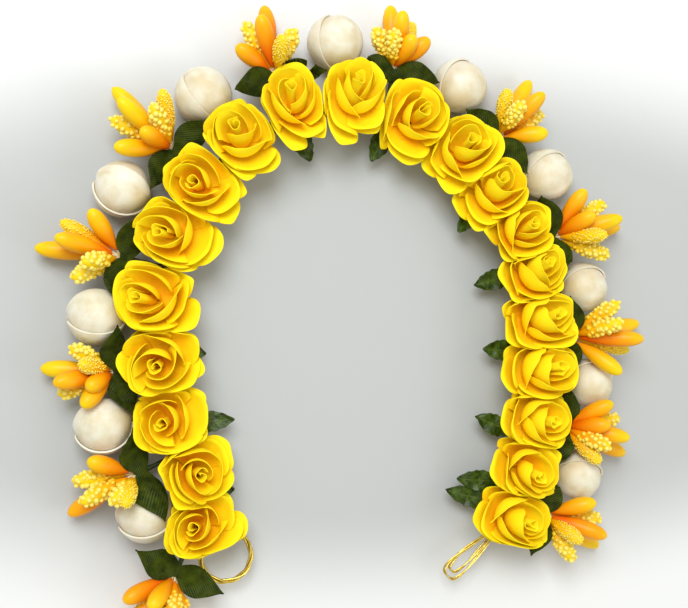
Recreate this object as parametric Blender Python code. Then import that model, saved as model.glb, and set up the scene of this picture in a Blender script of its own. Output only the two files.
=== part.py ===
"""A bendable hair garland: paper roses, white jasmine buds and stamen pips wired on a looped gold wire.

The garland lies on its back, as it does on a table. +Z is up and the roses face up, +Y runs from the open
ends to the top of the arch, and the origin is the middle of the footprint, on the table. Lengths are in
metres. A place along the garland is a station, its distance along the wire from the left end. A distance
out from the wire, away from the inside of the arch, is an offset.
"""

import math
import random

import bpy
import numpy as np

MM = 0.001

# The arch of the wire, seen from above, from its left end over the top to its right end.
ARCH = np.array([
    (-45, -56), (-50, -35), (-55, -7), (-52, 19), (-40, 41), (-20, 56),
    (2, 60), (24, 52), (42, 33), (51, 7), (51, -23), (44, -55),
]) * MM
ARCH_STEPS = 40
END_OVERHANG = 3 * MM

# Wire and tape. The doubled gold wire runs the whole length inside a sleeve of wound floral tape.
WIRE_HEIGHT = 5.0 * MM
WIRE_CORE_RADIUS = 0.62 * MM
WIRE_RINGS = 31
WIRE_SIDES = 5
TAPE_INNER_RADIUS = 1.15 * MM
TAPE_OUTER_RADIUS = 1.9 * MM
STALK_RADIUS = 0.7 * MM
STALK_SIDES = 4
SEAT_GAP = 0.3 * MM

# The wire opens into a round loop at the left end and into a narrow hairpin at the right end.
BARE_END = 2.5 * MM
BARE_END_RADIUS = 1.25 * MM
BARE_END_SIDES = 6
STRAND_RADIUS = 0.42 * MM
STRAND_SIDES = 4
STRAND_SPREAD = 0.5 * MM
ROUND_LOOP_RADII = (7.4 * MM, 6.5 * MM)
ROUND_LOOP_BEND = math.radians(54)
HAIRPIN_LENGTHS = (20 * MM, 18 * MM)
HAIRPIN_HALF_WIDTHS = (2.7 * MM, 1.7 * MM)
HAIRPIN_BEND = math.radians(-38)

# Roses, wired on by hand: the pitch between them wanders, and is closer on the second arm.
FIRST_ROSE_STATION = 1.5 * MM
ROSE_PITCHES = np.array([15, 15, 16, 16, 18, 15, 16, 17, 16, 17, 17, 15, 13, 12.5, 13.5, 14, 14, 14, 15]) * MM
ROSE_STATIONS = FIRST_ROSE_STATION + np.concatenate([[0], np.cumsum(ROSE_PITCHES)])
ROSE_COUNT = len(ROSE_STATIONS)
ROSE_OFFSETS = np.array([-1, -4, 1, 0, 2, 1, 1, 2, 3, 2, 0, 0, -1, 2, 2, 1, 1, 2, 2, 1]) * MM
ROSE_HANGS = np.array([2, 0, 1, 0, 0, 0, 3, 2, 2.5, 4, 1, 0, 0, 0, 0, 0, 0, 0, 0, 1]) * MM
ROSE_RADIUS = 10.8 * MM
ROSE_HEIGHT = 10.6 * MM
ROSE_FOOT_RADIUS = 1.0 * MM
ROSE_HEAD_HEIGHT = 13 * MM
ROSE_SIZES = (0.95, 1.03)
UNDERSIDE_SLOPE = 0.5
UNDERSIDE_REACH = 1.1 * ROSE_RADIUS
ROSE_GAP = 0.25 * MM
ROSE_BUD_MARGIN = 1.5 * MM
FREE_SHARE = 0.35
SHINGLE_SLOPE = 0.55
HEAD_SLIDE = -0.16
LEAN_PER_OFFSET = math.radians(5) / MM
MOST_LEAN = math.radians(21)

# Buds stand in a row along the outside.
FIRST_BUD_STATION = 7.5 * MM
BUD_PITCHES = np.array([25.5, 25, 28, 26, 30.5, 28, 28.5, 28, 24, 24]) * MM
BUD_STATIONS = FIRST_BUD_STATION + np.concatenate([[0], np.cumsum(BUD_PITCHES)])
BUD_OFFSETS = np.array([12.5, 18, 17, 18.5, 17.5, 18.5, 17, 18.5, 19, 20, 21]) * MM
BUD_COUNT = len(BUD_STATIONS)
BUD_RADIUS = 7.6 * MM
SMALL_BUD_RADIUS = 7.1 * MM
BUD_FOOT_SHARE = 0.83
BUD_FLAT = 0.5 * MM
BUD_LIP = 0.9 * MM

# Clusters of pips stand midway between the buds, and one past each end of their row.
FIRST_CLUSTER_STATION = -1.5 * MM
LAST_CLUSTER_STATION = 287 * MM
CLUSTER_STATIONS = np.array(
    [FIRST_CLUSTER_STATION, *(BUD_STATIONS[1:] + BUD_STATIONS[:-1]) / 2, LAST_CLUSTER_STATION]
)
CLUSTER_COUNT = len(CLUSTER_STATIONS)
CLUSTER_SIZES = (1.0, 0.88, 0.86, 0.95, 1.02, 0.86, 0.84, 0.9, 1.02, 1.1, 0.97, 0.95)
CLUSTER_SWINGS = np.radians([-46, -8, 0, 0, 0, 6, -8, 0, 0, 0, 0, 8])
CLUSTER_OFFSET = 11 * MM
CLUSTER_HEIGHT = 7.0 * MM
KNOT_RADIUS = 1.3 * MM
PIP_RADIUS = 2.45 * MM
THREAD_RADIUS = 0.5 * MM
BEAD_RELIEF = 0.6 * MM

LEAF_THICKNESS = 0.6 * MM
LEAF_PAIR_OFFSET = 10.6 * MM
LEAF_PAIR_HEIGHT = 8.4 * MM
LEAF_LENGTH = 13.5 * MM
LEAF_SHARE_OF_SPACE = 0.47
LEAF_OUTER_HALF = 4.4 * MM
LEAF_INNER_HALF = 3.2 * MM
INNER_LEAF_STATIONS = np.array([9, 28, 50, 81, 129, 158, 195, 219, 243, 267, 282, 288]) * MM
INNER_LEAF_REACHES = np.array([13, 17, 13, 13, 13, 14.5, 14.5, 14.5, 14, 14.5, 16, 18]) * MM
INNER_LEAF_WIDTH = 6.4 * MM
INNER_LEAF_SLANT = 0.25

GOLD = ("gold_wire", (0.78, 0.55, 0.16), 0.3, 1.0)
TAPE_GREEN = ("green_tape", (0.03, 0.1, 0.03), 0.7, 0.0)
ROSE_YELLOW = ("rose_paper", (0.98, 0.76, 0.03), 0.6, 0.0)
BUD_CREAM = ("bud_pith", (0.93, 0.87, 0.74), 0.6, 0.0)
PIP_YELLOW = ("pip_yellow", (1.0, 0.6, 0.02), 0.35, 0.0)
LEAF_GREEN = ("leaf_cloth", (0.04, 0.12, 0.05), 0.6, 0.0)


# Curves and frames

def smooth_path(points, steps):
    """A Catmull-Rom curve through the points, as a dense line."""
    ends = np.vstack([2 * points[0] - points[1], points, 2 * points[-1] - points[-2]])
    t = np.linspace(0, 1, steps, endpoint=False)[:, None]
    pieces = []
    for p0, p1, p2, p3 in zip(ends, ends[1:], ends[2:], ends[3:]):
        pieces.append(0.5 * (2 * p1 + (p2 - p0) * t + (2 * p0 - 5 * p1 + 4 * p2 - p3) * t ** 2
                             + (3 * p1 - p0 - 3 * p2 + p3) * t ** 3))
    return np.vstack([*pieces, points[-1:]])


class Arch:
    """The line of the wire, with a frame at each station. Past its ends it runs on straight."""

    def __init__(self):
        self.line = smooth_path(ARCH, ARCH_STEPS)
        steps = np.linalg.norm(np.diff(self.line, axis=0), axis=1)
        self.stations = np.concatenate([[0], np.cumsum(steps)])
        self.length = self.stations[-1]
        slopes = np.gradient(self.line, self.stations, axis=0)
        self.slopes = slopes / np.linalg.norm(slopes, axis=1)[:, None]

    def frame(self, station):
        """(tangent, outward) at a station, as unit vectors in the plane of the table."""
        slope = np.array([np.interp(station, self.stations, self.slopes[:, k]) for k in (0, 1)])
        slope /= np.linalg.norm(slope)
        return np.array([*slope, 0]), np.array([-slope[1], slope[0], 0])

    def point(self, station, offset, height):
        tangent, outward = self.frame(station)
        on_line = [np.interp(station, self.stations, self.line[:, k]) for k in (0, 1)]
        past = station - np.clip(station, 0, self.length)
        return np.array([*on_line, height]) + outward * offset + tangent * past


def turned_frame(axis):
    """Two unit vectors square to the axis and to each other."""
    aside = np.cross(axis, (0, 0, 1) if abs(axis[2]) < 0.9 else (1, 0, 0))
    aside /= np.linalg.norm(aside)
    return aside, np.cross(axis, aside)


def unit(vector):
    return vector / np.linalg.norm(vector)


# Solids

def new_object(name, points, faces):
    """A closed mesh object whose faces point out."""
    mesh = bpy.data.meshes.new(name)
    mesh.from_pydata([tuple(p) for p in points], [], faces)
    mesh.update()
    obj = bpy.data.objects.new(name, mesh)
    bpy.context.scene.collection.objects.link(obj)
    corners = np.array(points)
    volume = sum(
        np.dot(corners[f[0]], np.cross(corners[f[k]], corners[f[k + 1]]))
        for f in faces for k in range(1, len(f) - 1)
    )
    if volume < 0:
        mesh.flip_normals()
    return obj


def tube(name, path, rings):
    """A tube along a path, from one list of corner radii for each point of the path.

    A ring may have twice as many corners as the ring before it. A ring of one radius of 0 is a pointed end,
    and any other end is a flat cap.
    """
    path = np.asarray(path)
    slopes = np.gradient(path, axis=0)
    aside, _ = turned_frame(unit(slopes[0]))
    points, loops = [], []
    for centre, slope, radii in zip(path, slopes, rings):
        slope = unit(slope)
        aside = unit(aside - slope * aside.dot(slope))
        turns = np.arange(len(radii)) * 2 * math.pi / len(radii)
        ring = np.outer(np.cos(turns), aside) + np.outer(np.sin(turns), np.cross(slope, aside))
        loops.append(range(len(points), len(points) + len(radii)))
        points.extend(centre + ring * np.reshape(radii, (-1, 1)))
    faces = []
    for low, high in zip(loops, loops[1:]):
        for k in range(len(low)):
            first, second = low[k], low[(k + 1) % len(low)]
            if len(high) == 2 * len(low):
                middle, after = high[2 * k + 1], high[(2 * k + 2) % len(high)]
                faces += [[first, middle, high[2 * k]], [first, second, middle], [second, after, middle]]
            elif len(high) == 1:
                faces.append([first, second, high[0]])
            else:
                faces += triangles([first, second, high[(k + 1) % len(high)], high[k]])
    faces += [list(loop) for loop in (loops[0][::-1], loops[-1]) if len(loop) > 1]
    return new_object(name, points, faces)


def triangles(corners):
    """The two triangles of a four-cornered face."""
    first, second, third, fourth = corners
    return [[first, second, third], [first, third, fourth]]


def blade(name, middle, thickness):
    """A sheet of a given thickness about a grid of points."""
    rows, columns = middle.shape[:2]
    along, across = np.gradient(middle, axis=(0, 1))
    normals = np.cross(along, across)
    normals /= np.linalg.norm(normals, axis=2)[..., None]
    front = np.arange(rows * columns).reshape(rows, columns)
    back = front + rows * columns
    half = normals * thickness / 2
    points = np.vstack([(middle + half).reshape(-1, 3), (middle - half).reshape(-1, 3)])
    faces = []
    for i in range(rows - 1):
        for j in range(columns - 1):
            cell = [(i, j), (i, j + 1), (i + 1, j + 1), (i + 1, j)]
            faces += triangles([front[c] for c in cell])
            faces += [face[::-1] for face in triangles([back[c] for c in cell])]
    rim = ([(0, j) for j in range(columns)] + [(i, columns - 1) for i in range(1, rows)]
           + [(rows - 1, j) for j in range(columns - 2, -1, -1)] + [(i, 0) for i in range(rows - 2, 0, -1)])
    for here, there in zip(rim, rim[1:] + rim[:1]):
        faces += triangles([front[there], front[here], back[here], back[there]])
    return new_object(name, points, [[int(corner) for corner in face] for face in faces])


def fused(name, body, others, material):
    """The body and the others as one solid, in a material."""
    group = bpy.data.collections.new(name + "_pieces")
    for obj in others:
        bpy.context.scene.collection.objects.unlink(obj)
        group.objects.link(obj)
    union = body.modifiers.new("Union", "BOOLEAN")
    union.operation = "UNION"
    union.operand_type = "COLLECTION"
    union.solver = "MANIFOLD"
    union.collection = group
    graph = bpy.context.evaluated_depsgraph_get()
    mesh = bpy.data.meshes.new_from_object(body.evaluated_get(graph))
    body.modifiers.clear()
    body.data = mesh
    for obj in others:
        bpy.data.objects.remove(obj)
    bpy.data.collections.remove(group)
    return finished(name, body, material)


def finished(name, obj, material):
    """Names the object and gives it its material."""
    obj.name = obj.data.name = name
    label, colour, roughness, metallic = material
    made = bpy.data.materials.get(label)
    if made is None:
        made = bpy.data.materials.new(label)
        made.use_nodes = True
        shader = made.node_tree.nodes["Principled BSDF"]
        shader.inputs["Base Color"].default_value = (*colour, 1)
        shader.inputs["Roughness"].default_value = roughness
        shader.inputs["Metallic"].default_value = metallic
    obj.data.materials.clear()
    obj.data.materials.append(made)
    return obj


# Where the flowers stand

def bud_radius(index):
    """The buds of the closer arm are a little smaller."""
    return SMALL_BUD_RADIUS if index > 7 else BUD_RADIUS


def bud_centre(arch, index):
    return arch.point(BUD_STATIONS[index], BUD_OFFSETS[index], bud_radius(index) * BUD_FOOT_SHARE)


def clear_of_buds(points, buds, margin, depth=4 * MM, fade=4 * MM):
    """Moves what lies in or near a bud out of it, keeping the order of what was deeper."""
    for centre, radius in buds:
        away = points - centre
        distance = np.linalg.norm(away, axis=-1, keepdims=True)
        least = radius + margin
        pressed = least + fade * np.clip((distance - least + depth) / (fade + depth), 0, 1)
        points = np.where(distance < least + fade, centre + away / distance * pressed, points)
    return points


class RosePlace:
    """Where one rose stands and how its neighbours press on it."""

    def __init__(self, arch, index):
        station = ROSE_STATIONS[index]
        top = (ROSE_COUNT - 1) / 2
        self.tangent, outward = arch.frame(station)
        offset = ROSE_OFFSETS[index]
        lean = np.clip(LEAN_PER_OFFSET * offset, -MOST_LEAN, MOST_LEAN)
        slide = HEAD_SLIDE * np.clip(index - top, -1, 1)
        self.axis = unit(outward * math.tan(lean) + self.tangent * slide + np.array([0, 0, 1]))
        self.aside = unit(self.tangent - self.axis * self.axis.dot(self.tangent))
        self.across = np.cross(self.axis, self.aside)
        foot = WIRE_HEIGHT + TAPE_OUTER_RADIUS + SEAT_GAP + ROSE_FOOT_RADIUS * np.hypot(*self.axis[:2])
        rise = ROSE_HEAD_HEIGHT - foot
        self.base = arch.point(station, offset - rise * math.tan(lean), foot) - self.tangent * slide * rise
        self.walls = {}
        for side in (-1, 1):
            if 0 <= index + side < ROSE_COUNT:
                self.walls[side] = wall_between(arch, index, index + side)

    def placed(self, local):
        """Points of the rose's own frame put in their place.

        The free share of the room on each side stays as it is, and the rest is pressed to fit the neighbour.
        """
        axle = self.base + local[..., 1:2] * self.across + local[..., 2:] * self.axis
        reach = local[..., 0].copy()
        for side, (origin, normal) in self.walls.items():
            room = side * ((origin - axle) @ normal) / (self.aside @ normal) - ROSE_GAP
            knee = FREE_SHARE * room
            out = side * reach
            slope = np.minimum((room - knee) / (out.max() - knee), 1)
            reach = np.where(out > knee, side * (knee + (out - knee) * slope), reach)
        return axle + reach[..., None] * self.aside

    def kept_under(self, points, margin):
        """Lowers what lies under the rose until it is the margin clear of the petals."""
        height = (points - self.base) @ self.axis
        radial = np.linalg.norm(points - self.base - height[..., None] * self.axis, axis=-1)
        most = UNDERSIDE_SLOPE * (radial - ROSE_FOOT_RADIUS) - margin
        drop = np.where(radial < UNDERSIDE_REACH, np.minimum(most - height, 0), 0)
        return points + drop[..., None] * self.axis


def wall_between(arch, index, other):
    """The plane where two roses press on each other. The one nearer the arch's top lies over the other."""
    top = (ROSE_COUNT - 1) / 2
    station = (ROSE_STATIONS[index] + ROSE_STATIONS[other]) / 2
    tangent, _ = arch.frame(station)
    over = 1 if abs(index - top) < abs(other - top) else -1
    normal = tangent * (other - index) - np.array([0, 0, over * SHINGLE_SLOPE])
    return arch.point(station, 0, ROSE_HEAD_HEIGHT), unit(normal)


# Roses

ROSE_COLUMNS = 16
ROSE_ROWS = (
    # (radius, height) as shares of the rose's, petals round this row, their turn, lip, lobe
    (0.78, 0.38, 4, 0.0, 0.10, 0.05),
    (1.00, 0.62, 4, 0.0, 0.16, 0.20),
    (0.92, 0.68, 4, 0.0, 0.16, 0.20),
    (0.62, 0.46, 4, 0.25, 0.04, 0.04),
    (0.71, 0.87, 4, 0.5, 0.13, 0.15),
    (0.62, 0.92, 4, 0.5, 0.13, 0.15),
    (0.38, 0.68, 2, 0.5, 0.03, 0.00),
    (0.36, 0.98, 2, 0.5, 0.14, 0.06),
    (0.22, 1.00, 2, 0.5, 0.12, 0.06),
)
OUTER_ROWS = 3
ROSE_HEART_HEIGHT = 0.82
MOST_PETALS = 4
PETAL_WANDER = 0.5
PETAL_EDGE = 0.16
PETAL_WAIST = 0.7
PETAL_SWELL = 0.6


def petal_shares(petals):
    """How far round its petal each column stands, from 0 to 1: close to both edges, and even between."""
    columns = ROSE_COLUMNS // petals
    edge = PETAL_EDGE / columns
    return np.tile(np.linspace(edge, 1 - edge, columns), petals)


def rose_row(row, phase, size, wander):
    """One ring of the rose: each petal swings out to a lip over the next, and bulges up in its middle."""
    radius, height, petals, turn, lip, lobe = row
    share = petal_shares(petals)
    petal = np.arange(ROSE_COLUMNS) // (ROSE_COLUMNS // petals)
    column = turn * ROSE_COLUMNS / 4
    angle = phase + 2 * math.pi * ((petal + share) / petals + column / ROSE_COLUMNS)
    bulge = lobe * (np.sin(math.pi * share) - PETAL_WAIST) * (1 + wander[petal])
    radii = ROSE_RADIUS * size * (radius + lip * (share - 0.5) + PETAL_SWELL * bulge)
    heights = ROSE_HEIGHT * size * (height + bulge)
    return np.stack([radii * np.cos(angle), radii * np.sin(angle), heights], axis=1)


def rose(place, index, buds):
    """Rings of petals round a rolled heart, on a short calyx: one surface folded up and down between them.

    The outer petals of some hang out further over the inside of the arch.
    """
    draw = random.Random(100 + index)
    size = draw.uniform(*ROSE_SIZES)
    phase = draw.uniform(0, 2 * math.pi)
    wander = np.array([draw.uniform(-PETAL_WANDER, PETAL_WANDER) for _ in range(MOST_PETALS)])
    foot = phase + 2 * math.pi * (np.arange(ROSE_COLUMNS) + 0.5) / ROSE_COLUMNS
    rings = [np.stack([ROSE_FOOT_RADIUS * np.cos(foot), ROSE_FOOT_RADIUS * np.sin(foot), 0 * foot], axis=1)]
    rings += [rose_row(row, phase, size, wander) for row in ROSE_ROWS]
    for ring in rings[1:1 + OUTER_ROWS]:
        ring[:, 1] -= ROSE_HANGS[index] * np.clip(-ring[:, 1] / ROSE_RADIUS, 0, 1) ** 2
    heart = np.array([[0, 0, ROSE_HEART_HEIGHT * ROSE_HEIGHT * size]])
    points = place.placed(np.vstack([*rings, heart]))
    points = clear_of_buds(points, buds, ROSE_BUD_MARGIN)
    faces = [list(range(ROSE_COLUMNS))[::-1]]
    for low in range(0, len(ROSE_ROWS) * ROSE_COLUMNS, ROSE_COLUMNS):
        for column in range(ROSE_COLUMNS):
            after = (column + 1) % ROSE_COLUMNS
            high = low + ROSE_COLUMNS
            faces += triangles([low + column, low + after, high + after, high + column])
    last = len(ROSE_ROWS) * ROSE_COLUMNS
    for column in range(ROSE_COLUMNS):
        faces.append([last + column, last + (column + 1) % ROSE_COLUMNS, len(points) - 1])
    return finished(f"rose_{index + 1:02d}", new_object("rose", points, faces), ROSE_YELLOW)


# Buds

BUD_COLUMNS = 12
BUD_RINGS = 6
BUD_PETAL_COLUMNS = 4
BUD_LIP_SHARE = 0.7


def bud(arch, index):
    """A round bud of three wrapped petals whose edges stand up as lips. It is flat below, where it rests."""
    _, outward = arch.frame(BUD_STATIONS[index])
    tangent = np.cross(outward, (0, 0, 1))
    centre = bud_centre(arch, index)
    radius = bud_radius(index)
    points = [centre + outward * radius]
    for ring in range(1, BUD_RINGS):
        polar = math.pi * ring / BUD_RINGS
        for column in range(BUD_COLUMNS):
            angle = 2 * math.pi * (column + 0.5) / BUD_COLUMNS
            wrap = ((column + ring + index) % BUD_PETAL_COLUMNS) / (BUD_PETAL_COLUMNS - 1)
            length = radius + BUD_LIP * (wrap - BUD_LIP_SHARE) * math.sin(polar)
            around = tangent * math.sin(angle) - np.array([0, 0, math.cos(angle)])
            points.append(centre + length * (outward * math.cos(polar) + around * math.sin(polar)))
    points.append(centre - outward * radius)
    points = np.array(points)
    points[:, 2] = np.where(points[:, 2] < BUD_FLAT, 0, points[:, 2])
    faces = []
    for column in range(BUD_COLUMNS):
        after = (column + 1) % BUD_COLUMNS
        faces.append([0, 1 + column, 1 + after])
        for ring in range(BUD_RINGS - 2):
            low = 1 + ring * BUD_COLUMNS
            high = low + BUD_COLUMNS
            faces += triangles([low + column, high + column, high + after, low + after])
        last = 1 + (BUD_RINGS - 2) * BUD_COLUMNS
        faces.append([last + column, len(points) - 1, last + after])
    return finished(f"bud_{index + 1:02d}", new_object("bud", points, faces), BUD_CREAM)


# Clusters of pips

PIP_FAN = (
    # degrees aside, degrees up, reach, beaded
    (-10, -6, 23.5 * MM, False),
    (14, 3, 19 * MM, True),
    (-39, 22, 17 * MM, True),
    (40, 24, 17 * MM, False),
    (0, 25, 20.5 * MM, False),
    (-21, 47, 16.5 * MM, True),
    (19, 48, 15.5 * MM, False),
)
SMOOTH_PIP = ((0.56, 0.75), (0.84, 1.0), (0.96, 0.6))
BEADED_PIP = ((0.5, 0.8), (0.64, 1.0), (0.79, 1.0), (0.92, 0.8))
PIP_SIDES = 6
THREAD_SHARES = (0.02, 0.36)
PIP_SIZES = (0.95, 1.03)
PIP_BUD_MARGIN = 0.8 * MM
STEEPEST_PIP = math.radians(80)
PIP_LIFT = math.radians(2)


def cluster_place(arch, index):
    """(tie point, direction that the cluster points in)"""
    station = CLUSTER_STATIONS[index]
    tangent, outward = arch.frame(station)
    swing = CLUSTER_SWINGS[index]
    forward = outward * math.cos(swing) + tangent * math.sin(swing)
    return arch.point(station, 0, CLUSTER_HEIGHT) + forward * CLUSTER_OFFSET, forward


def pip_direction(forward, aside_angle, up_angle):
    aside = np.cross((0, 0, 1), forward)
    level = forward * math.cos(aside_angle) + aside * math.sin(aside_angle)
    return level * math.cos(up_angle) + np.array([0, 0, math.sin(up_angle)])


def lifted_direction(root, forward, aside_angle, up_angle, reach, buds):
    """Raises a pip until its whole length is clear of the buds."""
    while True:
        direction = pip_direction(forward, aside_angle, up_angle)
        along = root + np.linspace(0.3, 1, 8)[:, None] * reach * direction
        near = min(np.linalg.norm(along - centre, axis=1).min() - radius for centre, radius in buds)
        if near > PIP_RADIUS + PIP_BUD_MARGIN or up_angle > STEEPEST_PIP:
            return direction
        up_angle += PIP_LIFT


def pip(root, direction, reach, beaded):
    """A pip on its thread. The rings of a beaded one are raised and sunk in turn, half a bead round each."""
    shares = list(THREAD_SHARES)
    rings = [[THREAD_RADIUS] * (PIP_SIDES // 2)] * len(shares)
    for ring, (share, width) in enumerate(BEADED_PIP if beaded else SMOOTH_PIP):
        sunk = BEAD_RELIEF * beaded * (np.arange(PIP_SIDES) % 2 == ring % 2)
        shares.append(share)
        rings.append(width * PIP_RADIUS - sunk)
    return tube("pip", root + np.outer([*shares, 1], reach * direction), [*rings, [0]])


def cluster(arch, index, buds):
    """Smooth and beaded pips on threads, bound together at a knot."""
    draw = random.Random(200 + index)
    tie, forward = cluster_place(arch, index)
    mirror = draw.choice((-1, 1))
    root = tie + forward * KNOT_RADIUS
    knot = tube("knot", [tie, root + forward * KNOT_RADIUS / 2],
                [[share * KNOT_RADIUS] * (PIP_SIDES - 1) for share in (0.6, 1)])
    pips = []
    for aside_angle, up_angle, reach, beaded in PIP_FAN[:len(PIP_FAN) - index % 2]:
        aside_angle = math.radians(mirror * aside_angle + draw.uniform(-3, 3))
        up_angle = math.radians(up_angle + draw.uniform(-2, 3))
        reach *= CLUSTER_SIZES[index] * draw.uniform(*PIP_SIZES)
        direction = lifted_direction(root, forward, aside_angle, up_angle, reach, buds)
        pips.append(pip(root, direction, reach, beaded))
    return fused(f"cluster_{index + 1:02d}", knot, pips, PIP_YELLOW)


# Leaves

LEAF_SHARES = (0.32, 0.8, 1.0, 0.7, 0.12)
LEAF_TURN = 0.1
LEAF_TIP_RISE = 3 * MM
LEAF_ROLLS = (math.radians(12), math.radians(34))
LEAF_WAVE = 0.35 * MM
LEAF_ROSE_MARGIN = 0.9 * MM
LEAF_BUD_MARGIN = 1.0 * MM


def leaf_pair(arch, index, buds, roses):
    """Two pointed cloth leaves in one strip, wired across the foot of a cluster and curving up to both tips."""
    draw = random.Random(300 + index)
    tie, forward = cluster_place(arch, index)
    tangent = np.cross(forward, (0, 0, 1))
    middle = tie + forward * (LEAF_PAIR_OFFSET - CLUSTER_OFFSET)
    others = [cluster_place(arch, other)[0] for other in (index - 1, index + 1) if 0 <= other < CLUSTER_COUNT]
    space = min(np.linalg.norm(tie - other) for other in others)
    length = min(LEAF_LENGTH, LEAF_SHARE_OF_SPACE * space)
    turn = draw.uniform(-LEAF_TURN, LEAF_TURN)
    last = len(LEAF_SHARES) - 1
    rows = []
    for row in range(-last, last + 1):
        out = abs(row) / last
        spot = middle + (tangent + forward * turn) * length * row / last
        spot[2] = LEAF_PAIR_HEIGHT + LEAF_TIP_RISE * out ** 1.5
        roll = LEAF_ROLLS[0] + LEAF_ROLLS[1] * out
        side = (forward * math.cos(roll) + np.array([0, 0, math.sin(roll)])) * LEAF_SHARES[abs(row)]
        wave = np.array([0, 0, LEAF_WAVE * (-1) ** row]) * (row != 0)
        rows.append([spot - side * LEAF_INNER_HALF + wave, spot, spot + side * LEAF_OUTER_HALF - wave])
    grid = np.array(rows)
    for place in roses:
        grid = place.kept_under(grid, LEAF_ROSE_MARGIN)
    grid = clear_of_buds(grid, buds, LEAF_BUD_MARGIN, depth=3 * MM, fade=2 * MM)
    return finished(f"leaf_pair_{index + 1:02d}", blade("leaf_pair", grid, LEAF_THICKNESS), LEAF_GREEN)


# The taped stem

def along_wire(arch, radius):
    """Rings of points round the wire, from one end of the sleeve to the other."""
    turns = 2 * math.pi * (np.arange(WIRE_SIDES) + 0.25) / WIRE_SIDES
    rings = []
    for station in np.linspace(-END_OVERHANG, arch.length + END_OVERHANG, WIRE_RINGS):
        _, outward = arch.frame(station)
        ring = np.outer(np.cos(turns), outward) + np.outer(np.sin(turns), (0, 0, 1))
        rings.append(arch.point(station, 0, WIRE_HEIGHT) + radius * ring)
    return np.vstack(rings)


def skin_faces(flip):
    """The faces of the rings along the wire, without its ends."""
    faces = []
    for ring in range(WIRE_RINGS - 1):
        low, high = ring * WIRE_SIDES, (ring + 1) * WIRE_SIDES
        for k in range(WIRE_SIDES):
            after = (k + 1) % WIRE_SIDES
            corners = [low + k, low + after, high + after, high + k]
            faces += triangles(corners[::-1] if flip else corners)
    return faces


def sleeve(arch):
    """The wound tape: a sleeve, open at both ends, that the wire runs through."""
    points = np.vstack([along_wire(arch, TAPE_OUTER_RADIUS), along_wire(arch, TAPE_INNER_RADIUS)])
    inner = WIRE_RINGS * WIRE_SIDES
    last = inner - WIRE_SIDES
    faces = skin_faces(False) + [[corner + inner for corner in face] for face in skin_faces(True)]
    for k in range(WIRE_SIDES):
        after = (k + 1) % WIRE_SIDES
        faces += triangles([after, k, inner + k, inner + after])
        faces += triangles([last + k, last + after, inner + last + after, inner + last + k])
    return new_object("sleeve", points, faces)


def stalk(arch, station, end):
    """A taped stalk, rooted in the wall of the sleeve."""
    start = arch.point(station, (TAPE_INNER_RADIUS + TAPE_OUTER_RADIUS) / 2, WIRE_HEIGHT)
    return tube("stalk", [start, end], [[STALK_RADIUS] * STALK_SIDES] * 2)


INNER_LEAF_HALVES = (0.3, 0.9, 0.65, 1.0, 0.2)
INNER_LEAF_ROOT = 0.45 * MM
INNER_LEAF_RISES = (-0.05, 0.1)
INNER_LEAF_CRUMPLE = 0.5 * MM


def inner_leaf(arch, station, reach, draw):
    """A crumpled, cut-edged leaf that shows inside the arch."""
    tangent, outward = arch.frame(station)
    slant = draw.uniform(-INNER_LEAF_SLANT, INNER_LEAF_SLANT)
    direction = unit(tangent * slant - outward + np.array([0, 0, draw.uniform(*INNER_LEAF_RISES)]))
    flat_side = unit(np.cross(direction, (0, 0, 1)))
    root = arch.point(station, -TAPE_INNER_RADIUS - INNER_LEAF_ROOT, WIRE_HEIGHT)
    rows = []
    for row, half in enumerate(INNER_LEAF_HALVES):
        spot = root + direction * (reach - TAPE_OUTER_RADIUS) * row / (len(INNER_LEAF_HALVES) - 1)
        side = flat_side * half * INNER_LEAF_WIDTH / 2
        crumple = np.array([0, 0, INNER_LEAF_CRUMPLE * (-1) ** row]) * (row > 0)
        rows.append([spot - side + crumple, spot, spot + side - crumple])
    return blade("inner_leaf", np.array(rows), LEAF_THICKNESS)


def taped_stem(arch, buds):
    """The sleeve with the taped stalks of the buds and clusters, and the inner leaves wound in with them."""
    draw = random.Random(400)
    parts = []
    for index, (centre, radius) in enumerate(buds):
        _, outward = arch.frame(BUD_STATIONS[index])
        parts.append(stalk(arch, BUD_STATIONS[index], centre - outward * (radius + SEAT_GAP)))
    for index in range(CLUSTER_COUNT):
        tie, forward = cluster_place(arch, index)
        parts.append(stalk(arch, CLUSTER_STATIONS[index], tie - forward * SEAT_GAP))
    for station, reach in zip(INNER_LEAF_STATIONS, INNER_LEAF_REACHES):
        parts.append(inner_leaf(arch, station, reach, draw))
    return fused("taped_stem", sleeve(arch), parts, TAPE_GREEN)


# The gold wire

LOOP_MOUTH = 0.07 * math.pi
LOOP_POINTS = 13
HAIRPIN_MOUTH = 0.03
HAIRPIN_POINTS = 11
STRAND_ROOT = 0.6 * BARE_END
CORE_END_SHARE = 0.8
BARE_END_TAPER = 0.4 * MM


def round_loop(mouth, forward, aside, radius, level):
    """A strand that leaves the bare end of the wire, goes once round a ring and comes back to it."""
    turns = np.linspace(math.pi - LOOP_MOUTH, LOOP_MOUTH - math.pi, LOOP_POINTS)
    centre = mouth + forward * ROUND_LOOP_RADII[0]
    ring = centre + radius * (np.outer(np.cos(turns), forward) + np.outer(np.sin(turns), aside))
    ring[:, 2] += level
    inside = mouth - forward * STRAND_ROOT + np.array([0, 0, level])
    return np.vstack([inside + aside * STRAND_SPREAD, ring, inside - aside * STRAND_SPREAD])


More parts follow.
